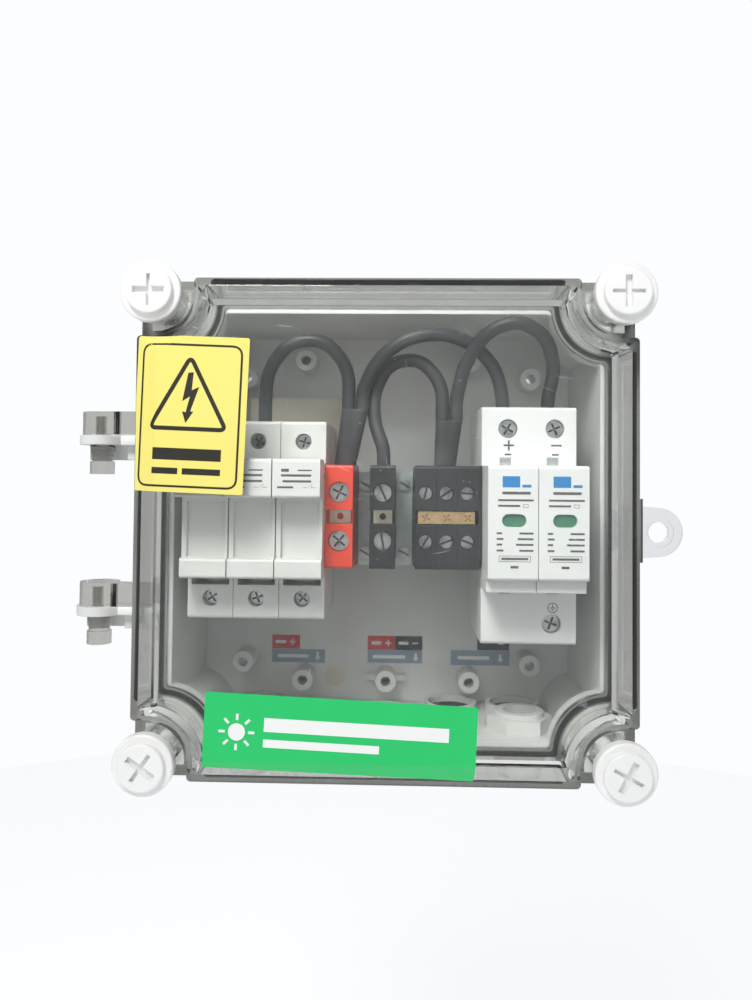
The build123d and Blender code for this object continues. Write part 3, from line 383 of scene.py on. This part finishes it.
def band(path, width):
    """Four-cornered pieces of a line of that width along a closed path."""
    inner, outer = [], []
    for i, point in enumerate(path):
        here = Vector(point)
        along = (Vector(path[(i + 1) % len(path)]) - Vector(path[i - 1])).normalized()
        side = Vector((-along.y, along.x)) * width / 2
        inner.append(tuple(here - side))
        outer.append(tuple(here + side))
    pieces = []
    for i in range(len(path)):
        after = (i + 1) % len(path)
        pieces.append((inner[i], inner[after], outer[after], outer[i]))
    return pieces


def bar(left, low, right, high):
    """A rectangle's four corners."""
    return (left, low), (right, low), (right, high), (left, high)


def disc(x, z, radius, corners=28):
    """A round outline."""
    turn = 2 * math.pi / corners
    angles = [i * turn for i in range(corners)]
    return [(x + radius * math.cos(a), z + radius * math.sin(a)) for a in angles]


def printed(shapes, place=(0, 0), tilt=0.0):
    """A flat layer in the plane of the front, from outlines in millimetres."""
    shape = bmesh.new()
    turn = math.radians(tilt)
    for outline in shapes:
        ring = []
        for u, v in outline:
            x = place[0] + u * math.cos(turn) - v * math.sin(turn)
            z = place[1] + u * math.sin(turn) + v * math.cos(turn)
            ring.append(shape.verts.new((x * MM, 0, z * MM)))
        shape.faces.new(ring)
    shape.normal_update()
    bmesh.ops.triangulate(shape, faces=shape.faces[:], ngon_method="EAR_CLIP")
    return shape


def lay_on(shape, node, creases=()):
    """Lays a flat layer on a CAD piece's front, cut along the piece's own creases."""
    for point, across in creases:
        parts = shape.verts[:] + shape.edges[:] + shape.faces[:]
        bmesh.ops.bisect_plane(shape, geom=parts, plane_co=point, plane_no=across)
    for _ in range(FINEST_CUTS):
        long_edges = [e for e in shape.edges if e.calc_length() > LONGEST_EDGE]
        bmesh.ops.subdivide_edges(shape, edges=long_edges, cuts=1)
        bmesh.ops.triangulate(shape, faces=shape.faces[:])
    under = nodes[node].data
    surface = BVHTree.FromPolygons(
        [v.co for v in under.vertices], [p.vertices for p in under.polygons],
    )
    for v in shape.verts:
        hit = surface.ray_cast(Vector((v.co.x, IN_FRONT, v.co.z)), Vector((0, 1, 0)))[0]
        if hit:
            v.co.y = hit.y - INK_LIFT
    face_front(shape)
    return shape


def face_front(shape):
    """Turns every face of a printed layer to the front."""
    shape.normal_update()
    for face in shape.faces:
        if face.normal.y > 0:
            face.normal_flip()


vinyl, v_in, v_out = shader_group(
    "vinyl_skin",
    [("Colour", COLOUR, (1, 1, 1, 1)), ("Worn", COLOUR, (0.9, 0.9, 0.9, 1)),
     ("Wear", VALUE, 0.2), ("Gloss", VALUE, 0.3)],
    [("Colour", COLOUR), ("Roughness", VALUE), ("Normal", VECTOR)],
)
v_place = object_place(vinyl)
v_broad = cloud(vinyl, v_place, 55.0, 3.0)
v_fine = cloud(vinyl, v_place, 900.0, 3.0)
v_mask = formula(vinyl, "MULTIPLY", steps(vinyl, v_broad, 0.4, 0.7), v_in.outputs["Wear"])
v_shade = blend_colour(vinyl, v_mask, v_in.outputs["Colour"], v_in.outputs["Worn"])
vinyl.links.new(v_shade, v_out.inputs["Colour"])
v_rough = formula(vinyl, "ADD", v_in.outputs["Gloss"], formula(vinyl, "MULTIPLY", v_fine, 0.15))
vinyl.links.new(v_rough, v_out.inputs["Roughness"])
v_wave = formula(vinyl, "ADD", v_broad, formula(vinyl, "MULTIPLY", v_fine, 0.06))
v_bump = add(vinyl, "ShaderNodeBump", {"Strength": 0.25, "Distance": 0.0003, "Height": v_wave})
vinyl.links.new(v_bump.outputs[0], v_out.inputs["Normal"])


def vinyl_label(name, colour, worn, wear=0.25, gloss=0.32):
    """A printed vinyl: its colour, the colour where it has faded, and its gloss."""
    made, tree, skin = new_material(name)
    given = {"Colour": (*colour, 1), "Worn": (*worn, 1), "Wear": wear, "Gloss": gloss}
    dress(tree, skin, add(tree, "ShaderNodeGroup", given, node_tree=vinyl))
    return made


label_yellow = vinyl_label("label_yellow", (0.93, 0.82, 0.20), (0.95, 0.86, 0.28))
label_green = vinyl_label("label_green", (0.012, 0.60, 0.15), (0.02, 0.66, 0.19))
ink_black = vinyl_label("ink_black", (0.02, 0.018, 0.012), (0.05, 0.045, 0.03), 0.3, 0.35)
ink_white = vinyl_label("ink_white", (0.93, 0.94, 0.93), (0.84, 0.90, 0.86), 0.3, 0.35)
finish_with(label_yellow, "warning_label")
finish_with(label_green, "name_label")

BAND_EDGE = 0.0813        # where the window meets the sloping band
WARNING_PLACE, WARNING_TILT = (-69.6, 40.2), -2.0
NAME_PLACE, NAME_TILT = (-15.0, -72.3), -2.4
SUN_X = -36.0
creases = [((side * BAND_EDGE, 0, 0), (1, 0, 0)) for side in (-1, 1)]
creases += [((0, 0, side * BAND_EDGE), (0, 0, 1)) for side in (-1, 1)]
border = band(rounded_path([(-18.0, -25.7), (18.0, -25.7), (18.0, 24.6), (-18.0, 24.6)], 3.6), 0.75)
triangle = band(rounded_path([(-13.9, -5.2), (13.5, -5.2), (-0.2, 20.4)], 2.4), 1.5)
bolt = [
    (-0.8, 14.7), (1.1, 14.9), (0.7, 8.5), (3.3, 9.8), (0.5, 1.0), (1.6, 0.9),
    (-1.0, -3.2), (-2.4, 0.9), (-1.1, 0.6), (0.15, 6.3), (-2.5, 4.5),
]
plain_lines = [
    bar(-12.4, -16.4, 12.2, -12.2), bar(-12.4, -21.4, -3.0, -19.2), bar(-1.4, -21.4, 12.2, -19.2),
]
warning_shapes = border + triangle + [bolt] + plain_lines
warning_flat = printed(warning_shapes, WARNING_PLACE, WARNING_TILT)
warning_print = lay_on(warning_flat, "warning_label", creases)
place_mesh("warning_print", warning_print, ink_black, "lid")

sun_rays = []
for number in range(8):
    turn = number * math.pi / 4
    out = Vector((math.cos(turn), math.sin(turn)))
    wide = Vector((-out.y, out.x)) * 0.45
    near, far = Vector((SUN_X, 0)) + out * 4.1, Vector((SUN_X, 0)) + out * 6.3
    sun_rays.append([tuple(near - wide), tuple(far - wide), tuple(far + wide), tuple(near + wide)])
name_shapes = sun_rays + [disc(SUN_X, 0, 3.0)]
name_shapes += [bar(-26.5, 0.6, 38.0, 5.4), bar(-26.5, -4.8, 14.0, -2.0)]
name_print = lay_on(printed(name_shapes, NAME_PLACE, NAME_TILT), "name_label", creases)
place_mesh("name_print", name_print, ink_white, "lid")

# ---- Scratches and dust on the lid ----
# Fine pale scratches and flecks on the window's outside, as a used cover has.
WINDOW_Y = -0.0951        # just in front of the window's face
SCRATCHES = 46
SCRATCH_POINTS = 6
FLECKS = 210
FLECK_CORNERS = 6

dust_pale = vinyl_label("dust_pale", (0.78, 0.79, 0.79), (0.6, 0.6, 0.6), 0.5, 0.7)
chance = random.Random(11)
marks = bmesh.new()
for _ in range(SCRATCHES):
    x, z = chance.uniform(-0.072, 0.072), chance.uniform(-0.072, 0.076)
    heading, length = chance.gauss(2.5, 0.7), chance.uniform(0.0015, 0.007)
    turn, wide = chance.uniform(-0.4, 0.4), chance.uniform(0.00003, 0.00006)
    last = None
    for k in range(SCRATCH_POINTS):
        t = k / (SCRATCH_POINTS - 1)
        taper = wide * math.sin(math.pi * (0.08 + 0.84 * t))
        bent = heading + turn * t
        spot = Vector((x + length * t * math.cos(bent), WINDOW_Y, z + length * t * math.sin(bent)))
        side = Vector((-math.sin(heading), 0, math.cos(heading))) * taper
        pair = marks.verts.new(spot - side), marks.verts.new(spot + side)
        if last:
            marks.faces.new((last[0], pair[0], pair[1], last[1]))
        last = pair
for _ in range(FLECKS):
    x, z = chance.uniform(-0.078, 0.078), chance.triangular(-0.078, 0.078, 0.05)
    size = chance.choice((0.00006, 0.00008, 0.0001, 0.00016))
    ring = []
    for k in range(FLECK_CORNERS):
        turn = 2 * math.pi * k / FLECK_CORNERS
        reach = size * chance.uniform(0.6, 1.3)
        corner = x + reach * math.cos(turn), WINDOW_Y, z + reach * math.sin(turn)
        ring.append(marks.verts.new(corner))
    marks.faces.new(ring)
face_front(marks)
place_mesh("lid_marks", marks, dust_pale, "lid")

# ---- Rail, end clamps and their screws ----
# Zinc-plated steel pressings with a brushed grain along the rail, and plated screws. All of
# them carry a few dull spots and painted shade in their recesses, darkest in the screws' slots.
plated, p_in, p_out = shader_group(
    "plated_metal",
    [("Colour", COLOUR, (0.6, 0.6, 0.6, 1)), ("Tarnish and Shade", COLOUR, (0.3, 0.3, 0.3, 1)),
     ("Spots", VALUE, 0.3), ("Brush", VALUE, 0.3), ("Gloss", VALUE, 0.3)],
    [("Colour", COLOUR), ("Roughness", VALUE), ("Normal", VECTOR)],
)
p_place = object_place(plated)
p_blotch = cloud(plated, p_place, 260.0, 4.0)
p_stretch = add(plated, "ShaderNodeMapping", {"Vector": p_place, "Scale": (4, 90, 90)})
p_brush = cloud(plated, p_stretch.outputs[0], 40.0, 4.0)
p_spots = formula(plated, "MULTIPLY", steps(plated, p_blotch, 0.42, 0.7), p_in.outputs["Spots"])
# Painted shade: hollows that the occlusion node finds take the second, darker colour, standing in
# for the shade inside them.
p_hollow_shade = add(plated, "ShaderNodeAmbientOcclusion", {"Distance": 0.0012}, samples=4, only_local=True)
p_tarnish_and_shade = formula(plated, "MAXIMUM", p_spots, steps(plated, p_hollow_shade.outputs["AO"], 0.85, 0.4))
p_shade = blend_colour(plated, p_tarnish_and_shade, p_in.outputs["Colour"], p_in.outputs["Tarnish and Shade"])
plated.links.new(p_shade, p_out.inputs["Colour"])
p_rough = formula(plated, "ADD", p_in.outputs["Gloss"], formula(plated, "MULTIPLY", p_brush, 0.25))
plated.links.new(p_rough, p_out.inputs["Roughness"])
p_edge = add(plated, "ShaderNodeBevel", {"Radius": 0.0002}, samples=4)
p_bump = add(
    plated, "ShaderNodeBump",
    {"Strength": p_in.outputs["Brush"], "Distance": 0.00005, "Height": p_brush,
     "Normal": p_edge.outputs[0]},
)
plated.links.new(p_bump.outputs[0], p_out.inputs["Normal"])


def plated_metal(name, colour, tarnish_and_shade, spots, brush, gloss, metallic=1.0):
    """A metal with a plated or polished surface, a few dull spots, and painted shade in its
    hollows.
    """
    made, tree, skin = new_material(name)
    given = {
        "Colour": (*colour, 1), "Tarnish and Shade": (*tarnish_and_shade, 1), "Spots": spots,
        "Brush": brush, "Gloss": gloss,
    }
    dress(tree, skin, add(tree, "ShaderNodeGroup", given, node_tree=plated))
    skin.inputs["Metallic"].default_value = metallic
    return made


rail_zinc = plated_metal(
    "rail_zinc", (0.60, 0.70, 0.69), (0.42, 0.50, 0.50), 0.35, 0.35, 0.28, 0.75,
)
clamp_zinc = plated_metal("clamp_zinc", (0.62, 0.69, 0.69), (0.40, 0.46, 0.46), 0.4, 0.2, 0.3, 0.6)
# The screws' near-black second colour is mostly painted shade in their slots, with a few dull
# spots.
screw_steel = plated_metal("screw_steel", (0.62, 0.64, 0.64), (0.06, 0.065, 0.07), 0.5, 0.2, 0.2)
finish_with(rail_zinc, "din_rail")
finish_with(clamp_zinc, "end_clamps")
finish_with(
    screw_steel, "rail_screws", "fuse_terminal_screws", "terminal_screws", "spd_terminal_screws",
)

# ---- Fuse holders ----
# White rail-mounted poles side by side, each with a carrier that swings out round a
# pin at its nose. The noses carry small printed lines and a switch symbol.
fuse_white, _, _ = moulded_plastic(
    "fuse_plastic", (0.80, 0.815, 0.80), (0.52, 0.50, 0.45), 0.12, 0.2, 0.10, 0.32, 0.00035,
)
for number in (1, 2, 3):
    finish_with(
        fuse_white, f"fuse_body_{number}", f"fuse_carrier_{number}", f"fuse_rail_clip_{number}",
    )
grey_ink, _, _ = moulded_plastic(
    "grey_ink", (0.10, 0.105, 0.11), (0.2, 0.2, 0.2), 0.5, 0.0, 0.1, 0.5, 0.0,
)
FUSE_X = (-67.0, -49.4, -31.8)
NOSE_FACE = -0.089


def print_on_face(name, shapes, place, depth, ink, body):
    """Ink on a flat face that looks to the front."""
    shape = printed(shapes, place)
    for v in shape.verts:
        v.co.y = depth - INK_LIFT
    face_front(shape)
    made = place_mesh(name, shape, ink, body)
    return made


nose_lines = [
    bar(0.5, 20.5, 5.6, 21.0), bar(-5.4, 20.2, -2.6, 21.3), bar(-5.5, 18.5, 5.4, 19.3),
    bar(-4.9, 16.4, 5.4, 17.2), bar(-6.8, 14.3, -1.0, 15.0),
]
switch_symbol = [
    bar(2.4, 14.5, 4.0, 14.65), bar(5.6, 14.5, 7.2, 14.65),
    ((4.0, 14.45), (4.1, 14.45), (5.9, 15.55), (5.8, 15.65)), disc(5.6, 14.58, 0.16, 12),
]
for number, x in enumerate(FUSE_X, 1):
    print_on_face(
        f"fuse_print_{number}", nose_lines + switch_symbol, (x, 0), NOSE_FACE, grey_ink,
        f"fuse_carrier_{number}",
    )

# ---- Cartridge fuses and contacts ----
# Ceramic tubes with plated end caps in spring jaws of tinned copper.
ceramic, _, _ = moulded_plastic(
    "fuse_ceramic", (0.86, 0.85, 0.80), (0.6, 0.58, 0.52), 0.2, 0.0, 0.05, 0.15, 0.0002,
)
contact_tin = plated_metal("contact_tin", (0.80, 0.74, 0.60), (0.5, 0.42, 0.3), 0.4, 0.3, 0.3)
CAP_Z = 0.0095
for number in (1, 2, 3):
    finish_with(ceramic, f"fuse_link_{number}")
ceramic_tree = ceramic.node_tree
ceramic_skin = ceramic_tree.nodes["Principled BSDF"]
along = add(ceramic_tree, "ShaderNodeSeparateXYZ", {0: object_place(ceramic_tree)})
off_middle = formula(ceramic_tree, "ABSOLUTE", along.outputs[2])
on_cap = formula(ceramic_tree, "GREATER_THAN", off_middle, CAP_Z)
ceramic_tree.links.new(on_cap, ceramic_skin.inputs["Metallic"])
finish_with(
    contact_tin, "fuse_contacts", "spd_sockets", "terminal_bars", "spd_blades_1", "spd_blades_2",
)

# ---- Pressboard behind the fuse holders ----
board, _, _ = moulded_plastic(
    "pressboard", (0.56, 0.52, 0.44), (0.38, 0.35, 0.30), 0.4, 0.1, 0.8, 0.7, 0.0002,
)
finish_with(board, "insulation_strip")

# ---- Rail terminals ----
# One red pole, one black, and a black block of three, in glass-filled nylon.
terminal_red, _, _ = moulded_plastic(
    "red_plastic", (0.92, 0.075, 0.035), (0.62, 0.05, 0.03), 0.2, 0.15, 0.15, 0.28, 0.0004,
)
terminal_black, _, _ = moulded_plastic(
    "black_plastic", (0.014, 0.017, 0.02), (0.07, 0.08, 0.09), 0.35, 0.35, 0.2, 0.26, 0.0004,
)
finish_with(terminal_red, "red_terminal")
finish_with(terminal_black, "black_terminals", "block_end_plate")

# ---- Brass bridge ----
brass = plated_metal("brass", (0.86, 0.62, 0.34), (0.5, 0.33, 0.18), 0.35, 0.15, 0.22)
finish_with(brass, "jumper_bar", "jumper_screws")

# ---- Surge arrester ----
# A U-shaped white base with two plug-in modules. Each has a green flag behind its
# window, printed lines, and a plain blue mark.
spd_white, _, _ = moulded_plastic(
    "spd_plastic", (0.88, 0.90, 0.905), (0.6, 0.6, 0.58), 0.08, 0.15, 0.10, 0.30, 0.00035,
)
finish_with(spd_white, "spd_base", "spd_module_1", "spd_module_2", "spd_rail_clip")
flag_green, _, _ = moulded_plastic(
    "flag_green", (0.07, 0.24, 0.15), (0.05, 0.16, 0.10), 0.3, 0.0, 0.1, 0.35, 0.0,
)
finish_with(flag_green, "spd_flag_1", "spd_flag_2")
blue_ink, _, _ = moulded_plastic(
    "blue_ink", (0.02, 0.25, 0.62), (0.05, 0.32, 0.66), 0.4, 0.0, 0.1, 0.4, 0.0,
)
SPD_X = (45.6, 63.6)
SHOULDER_FACE = -0.067
ROW_HALF = 0.35
rating_rows = []
for row, z in enumerate((-0.9, -2.9, -4.9, -7.0)):
    low, high = z - ROW_HALF, z + ROW_HALF
    rating_rows.append(bar(-5.8, low, -3.9 + 0.5 * (row % 2), high))
    rating_rows.append(bar(2.2 - 0.6 * (row % 3), low, 7.2, high))
module_lines = [
    bar(-3.9, 12.9, 6.1, 13.9), bar(-5.4, 10.5, 7.2, 11.2), bar(-5.4, 8.5, 2.4, 9.2),
    bar(-0.9, -13.3, 1.9, -12.4), bar(-4.1, -10.3, 5.4, -9.5),
]
large_box = rounded_path(bar(-4.9, -10.9, 6.2, -8.9), 0.1, 2)
small_box = rounded_path(bar(3.6, 8.3, 5.3, 9.4), 0.1, 2)
module_lines += rating_rows + band(large_box, 0.18) + band(small_box, 0.15)
plain_mark = [bar(-3.8, 15.4, 2.4, 19.4), bar(3.2, 15.4, 6.4, 16.4)]
for number, x in enumerate(SPD_X, 1):
    for kind, shapes, ink in (("lines", module_lines, grey_ink), ("mark", plain_mark, blue_ink)):
        print_on_face(
            f"spd_{kind}_{number}", shapes, (x, 0), NOSE_FACE, ink,
            f"spd_module_{number}",
        )

plus = [bar(-2.0, -0.35, 2.0, 0.35), bar(-0.35, 0.35, 0.35, 2.0), bar(-0.35, -2.0, 0.35, -0.35)]
minus = [bar(-2.0, -0.35, 2.0, 0.35)]
earth = band(disc(0, 0, 1.8, 30), 0.3) + [
    bar(-0.15, 0.0, 0.15, 1.2), bar(-1.1, -0.15, 1.1, 0.1),
    bar(-0.75, -0.65, 0.75, -0.4), bar(-0.35, -1.1, 0.35, -0.85),
]
base_marks = [(plus, (46.9, 31.4)), (minus, (65.0, 31.4)), (earth, (63.8, -30.2))]
for x in (46.6, 64.6):
    base_marks.append(([bar(-1.3, -0.3, 1.3, 0.3)], (x, 27.9)))
for number, (shapes, place) in enumerate(base_marks, 1):
    print_on_face(
        f"spd_symbol_{number}", shapes, place, SHOULDER_FACE, grey_ink, "enclosure",
    )

# ---- Wires and sleeves ----
# Black single-core wires in loops, with heat-shrunk sleeves over each pair. The
# sleeves are drawn in between their two wires and a little wrinkled.
wire_black, _, _ = moulded_plastic(
    "wire_black", (0.028, 0.030, 0.034), (0.13, 0.14, 0.15), 0.45, 0.3, 0.10, 0.34, 0.0,
)
finish_with(
    wire_black, "wire_fuse_to_red", "wire_red_to_spd", "wire_black_to_block", "wire_block_to_spd",
)
sleeve_black, _, _ = moulded_plastic(
    "sleeve_black", (0.030, 0.032, 0.036), (0.16, 0.17, 0.18), 0.5, 0.3, 0.25, 0.42, 0.0,
)
SLEEVES = (
    ((-16.55, -54.0, 23.3), (-12.6, -54.0, 46.0)),
    ((23.3, -54.0, 23.3), (24.9, -54.0, 41.6)),
)
FOOT_SIZE = (8.8, 5.6)
HEAD_SIZE = (11.0, 6.0)
RINGS = 26
ROUND = 40
SQUARENESS = 0.8          # under 1 fills the corners of the oval section
PINCH = 0.22              # how far the sleeve sinks between its wires at the top
PINCH_FROM = 0.35         # share of its length where that begins
PINCH_WIDTH = 0.28
DRAWN_IN = 0.03           # so that the wrinkles stay within the plain sleeve

sleeve_shape = bmesh.new()
for foot, head in SLEEVES:
    rows = []
    for k in range(RINGS + 1):
        t = k / RINGS
        middle = Vector(foot).lerp(Vector(head), t)
        wide = (FOOT_SIZE[0] + (HEAD_SIZE[0] - FOOT_SIZE[0]) * t) / 2
        thick = (FOOT_SIZE[1] + (HEAD_SIZE[1] - FOOT_SIZE[1]) * t) / 2
        pinch = PINCH * max(0.0, t - PINCH_FROM) / (1 - PINCH_FROM)
        row = []
        for s in range(ROUND):
            turn = 2 * math.pi * s / ROUND
            u = math.copysign(abs(math.cos(turn)) ** SQUARENESS, math.cos(turn))
            v = math.copysign(abs(math.sin(turn)) ** SQUARENESS, math.sin(turn))
            v *= 1 - pinch * math.exp(-(u / PINCH_WIDTH) ** 2)
            spot = middle + Vector((u * wide, v * thick, 0))
            crease = Vector((spot.x * 0.4, spot.y, spot.z * 1.6))
            wrinkle = noise.noise(spot * 0.45) * 0.16 + noise.noise(crease) * 0.08
            pull = 1 - DRAWN_IN - 0.02 * abs(wrinkle) + wrinkle * 0.02
            drawn_in = middle + (spot - middle) * pull + Vector((0, wrinkle * 0.3, 0))
            row.append(sleeve_shape.verts.new(drawn_in * MM))
        rows.append(row)
    for low, high in zip(rows, rows[1:]):
        for s in range(ROUND):
            after = (s + 1) % ROUND
            face = sleeve_shape.faces.new((low[s], low[after], high[after], high[s]))
            face.smooth = True
    sleeve_shape.faces.new(rows[0][::-1])
    sleeve_shape.faces.new(rows[-1])
sleeves = place_mesh("heat_sleeves", sleeve_shape, sleeve_black, "enclosure")
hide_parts("wire_sleeves")

# ---- Glands and plugs in the floor ----
# White nylon glands with rubber seals, and dark rubber plugs in the spare holes.
gland_white, _, _ = moulded_plastic(
    "gland_nylon", (0.80, 0.81, 0.80), (0.5, 0.5, 0.46), 0.15, 0.3, 0.15, 0.34, 0.0005,
)
finish_with(gland_white, "gland_bodies", "gland_locknuts", "gland_dome_nuts")
finish_with(washer_rubber, "gland_seals", "knockout_plugs")

# ---- Stickers on the back panel ----
# Small polarity stickers in red and black over blue-grey arrow strips, and a round
# inspection dot. Their colours follow from where each lies.
BLACK_FROM_X = 0.00395    # polarity stickers to the right of this are black
STRIPS_TOP_Z = -0.06      # top of the arrow strips
RAISED_FROM_X = 0.025     # the right strip sits higher
RAISED_BY = 0.0006
DOT_TOP_Z = -0.0668       # top of the inspection dot

sticker, s_tree, s_skin = new_material("marking_stickers")
s_place = add(s_tree, "ShaderNodeSeparateXYZ", {0: object_place(s_tree)})
s_right = formula(s_tree, "GREATER_THAN", s_place.outputs[0], BLACK_FROM_X)
s_far = formula(s_tree, "GREATER_THAN", s_place.outputs[0], RAISED_FROM_X)
s_line = formula(s_tree, "ADD", formula(s_tree, "MULTIPLY", s_far, RAISED_BY), STRIPS_TOP_Z)
s_strip = formula(s_tree, "LESS_THAN", s_place.outputs[2], s_line)
s_dot = formula(s_tree, "LESS_THAN", s_place.outputs[2], DOT_TOP_Z)
s_pole = blend_colour(s_tree, s_right, (0.66, 0.045, 0.05, 1), (0.035, 0.04, 0.05, 1))
s_two = blend_colour(s_tree, s_strip, s_pole, (0.30, 0.40, 0.52, 1))
s_three = blend_colour(s_tree, s_dot, s_two, (0.76, 0.72, 0.60, 1))
s_given = {"Colour": s_three, "Worn": (0.5, 0.5, 0.5, 1), "Wear": 0.15, "Gloss": 0.3}
dress(s_tree, s_skin, add(s_tree, "ShaderNodeGroup", s_given, node_tree=vinyl))
finish_with(sticker, "wiring_labels")
PANEL_FACE = -0.0032
small_plus = [bar(-1.4, -0.3, 1.4, 0.3), bar(-0.3, 0.3, 0.3, 1.4), bar(-0.3, -1.4, 0.3, -0.3)]
small_minus = [bar(-1.4, -0.3, 1.4, 0.3)]
arrow = [bar(-0.5, -0.2, 0.5, 1.9), ((-1.4, -0.2), (0, -1.9), (1.4, -0.2))]
sticker_marks = [
    (small_plus, (-43.0, -56.8)), ([bar(-2.4, -0.7, 2.4, 0.7)], (-48.4, -56.8)),
    (small_plus, (1.0, -56.7)), ([bar(-2.2, -0.7, 2.2, 0.7)], (-4.4, -56.7)),
    (small_minus, (13.4, -56.7)), ([bar(-2.2, -0.7, 2.2, 0.7)], (8.0, -56.7)),
    (small_minus, (52.6, -56.3)),
    (arrow, (-31.4, -63.2)), ([bar(-7.0, -0.8, 7.0, 0.8)], (-42.6, -63.2)),
    (arrow, (13.6, -63.0)), ([bar(-7.4, -0.8, 7.4, 0.8)], (1.4, -63.0)),
    (arrow, (52.2, -62.9)), ([bar(-7.2, -0.8, 7.2, 0.8)], (40.0, -62.9)),
]
for number, (shapes, place) in enumerate(sticker_marks, 1):
    print_on_face(
        f"sticker_mark_{number}", shapes, place, PANEL_FACE, ink_white,
        "enclosure",
    )
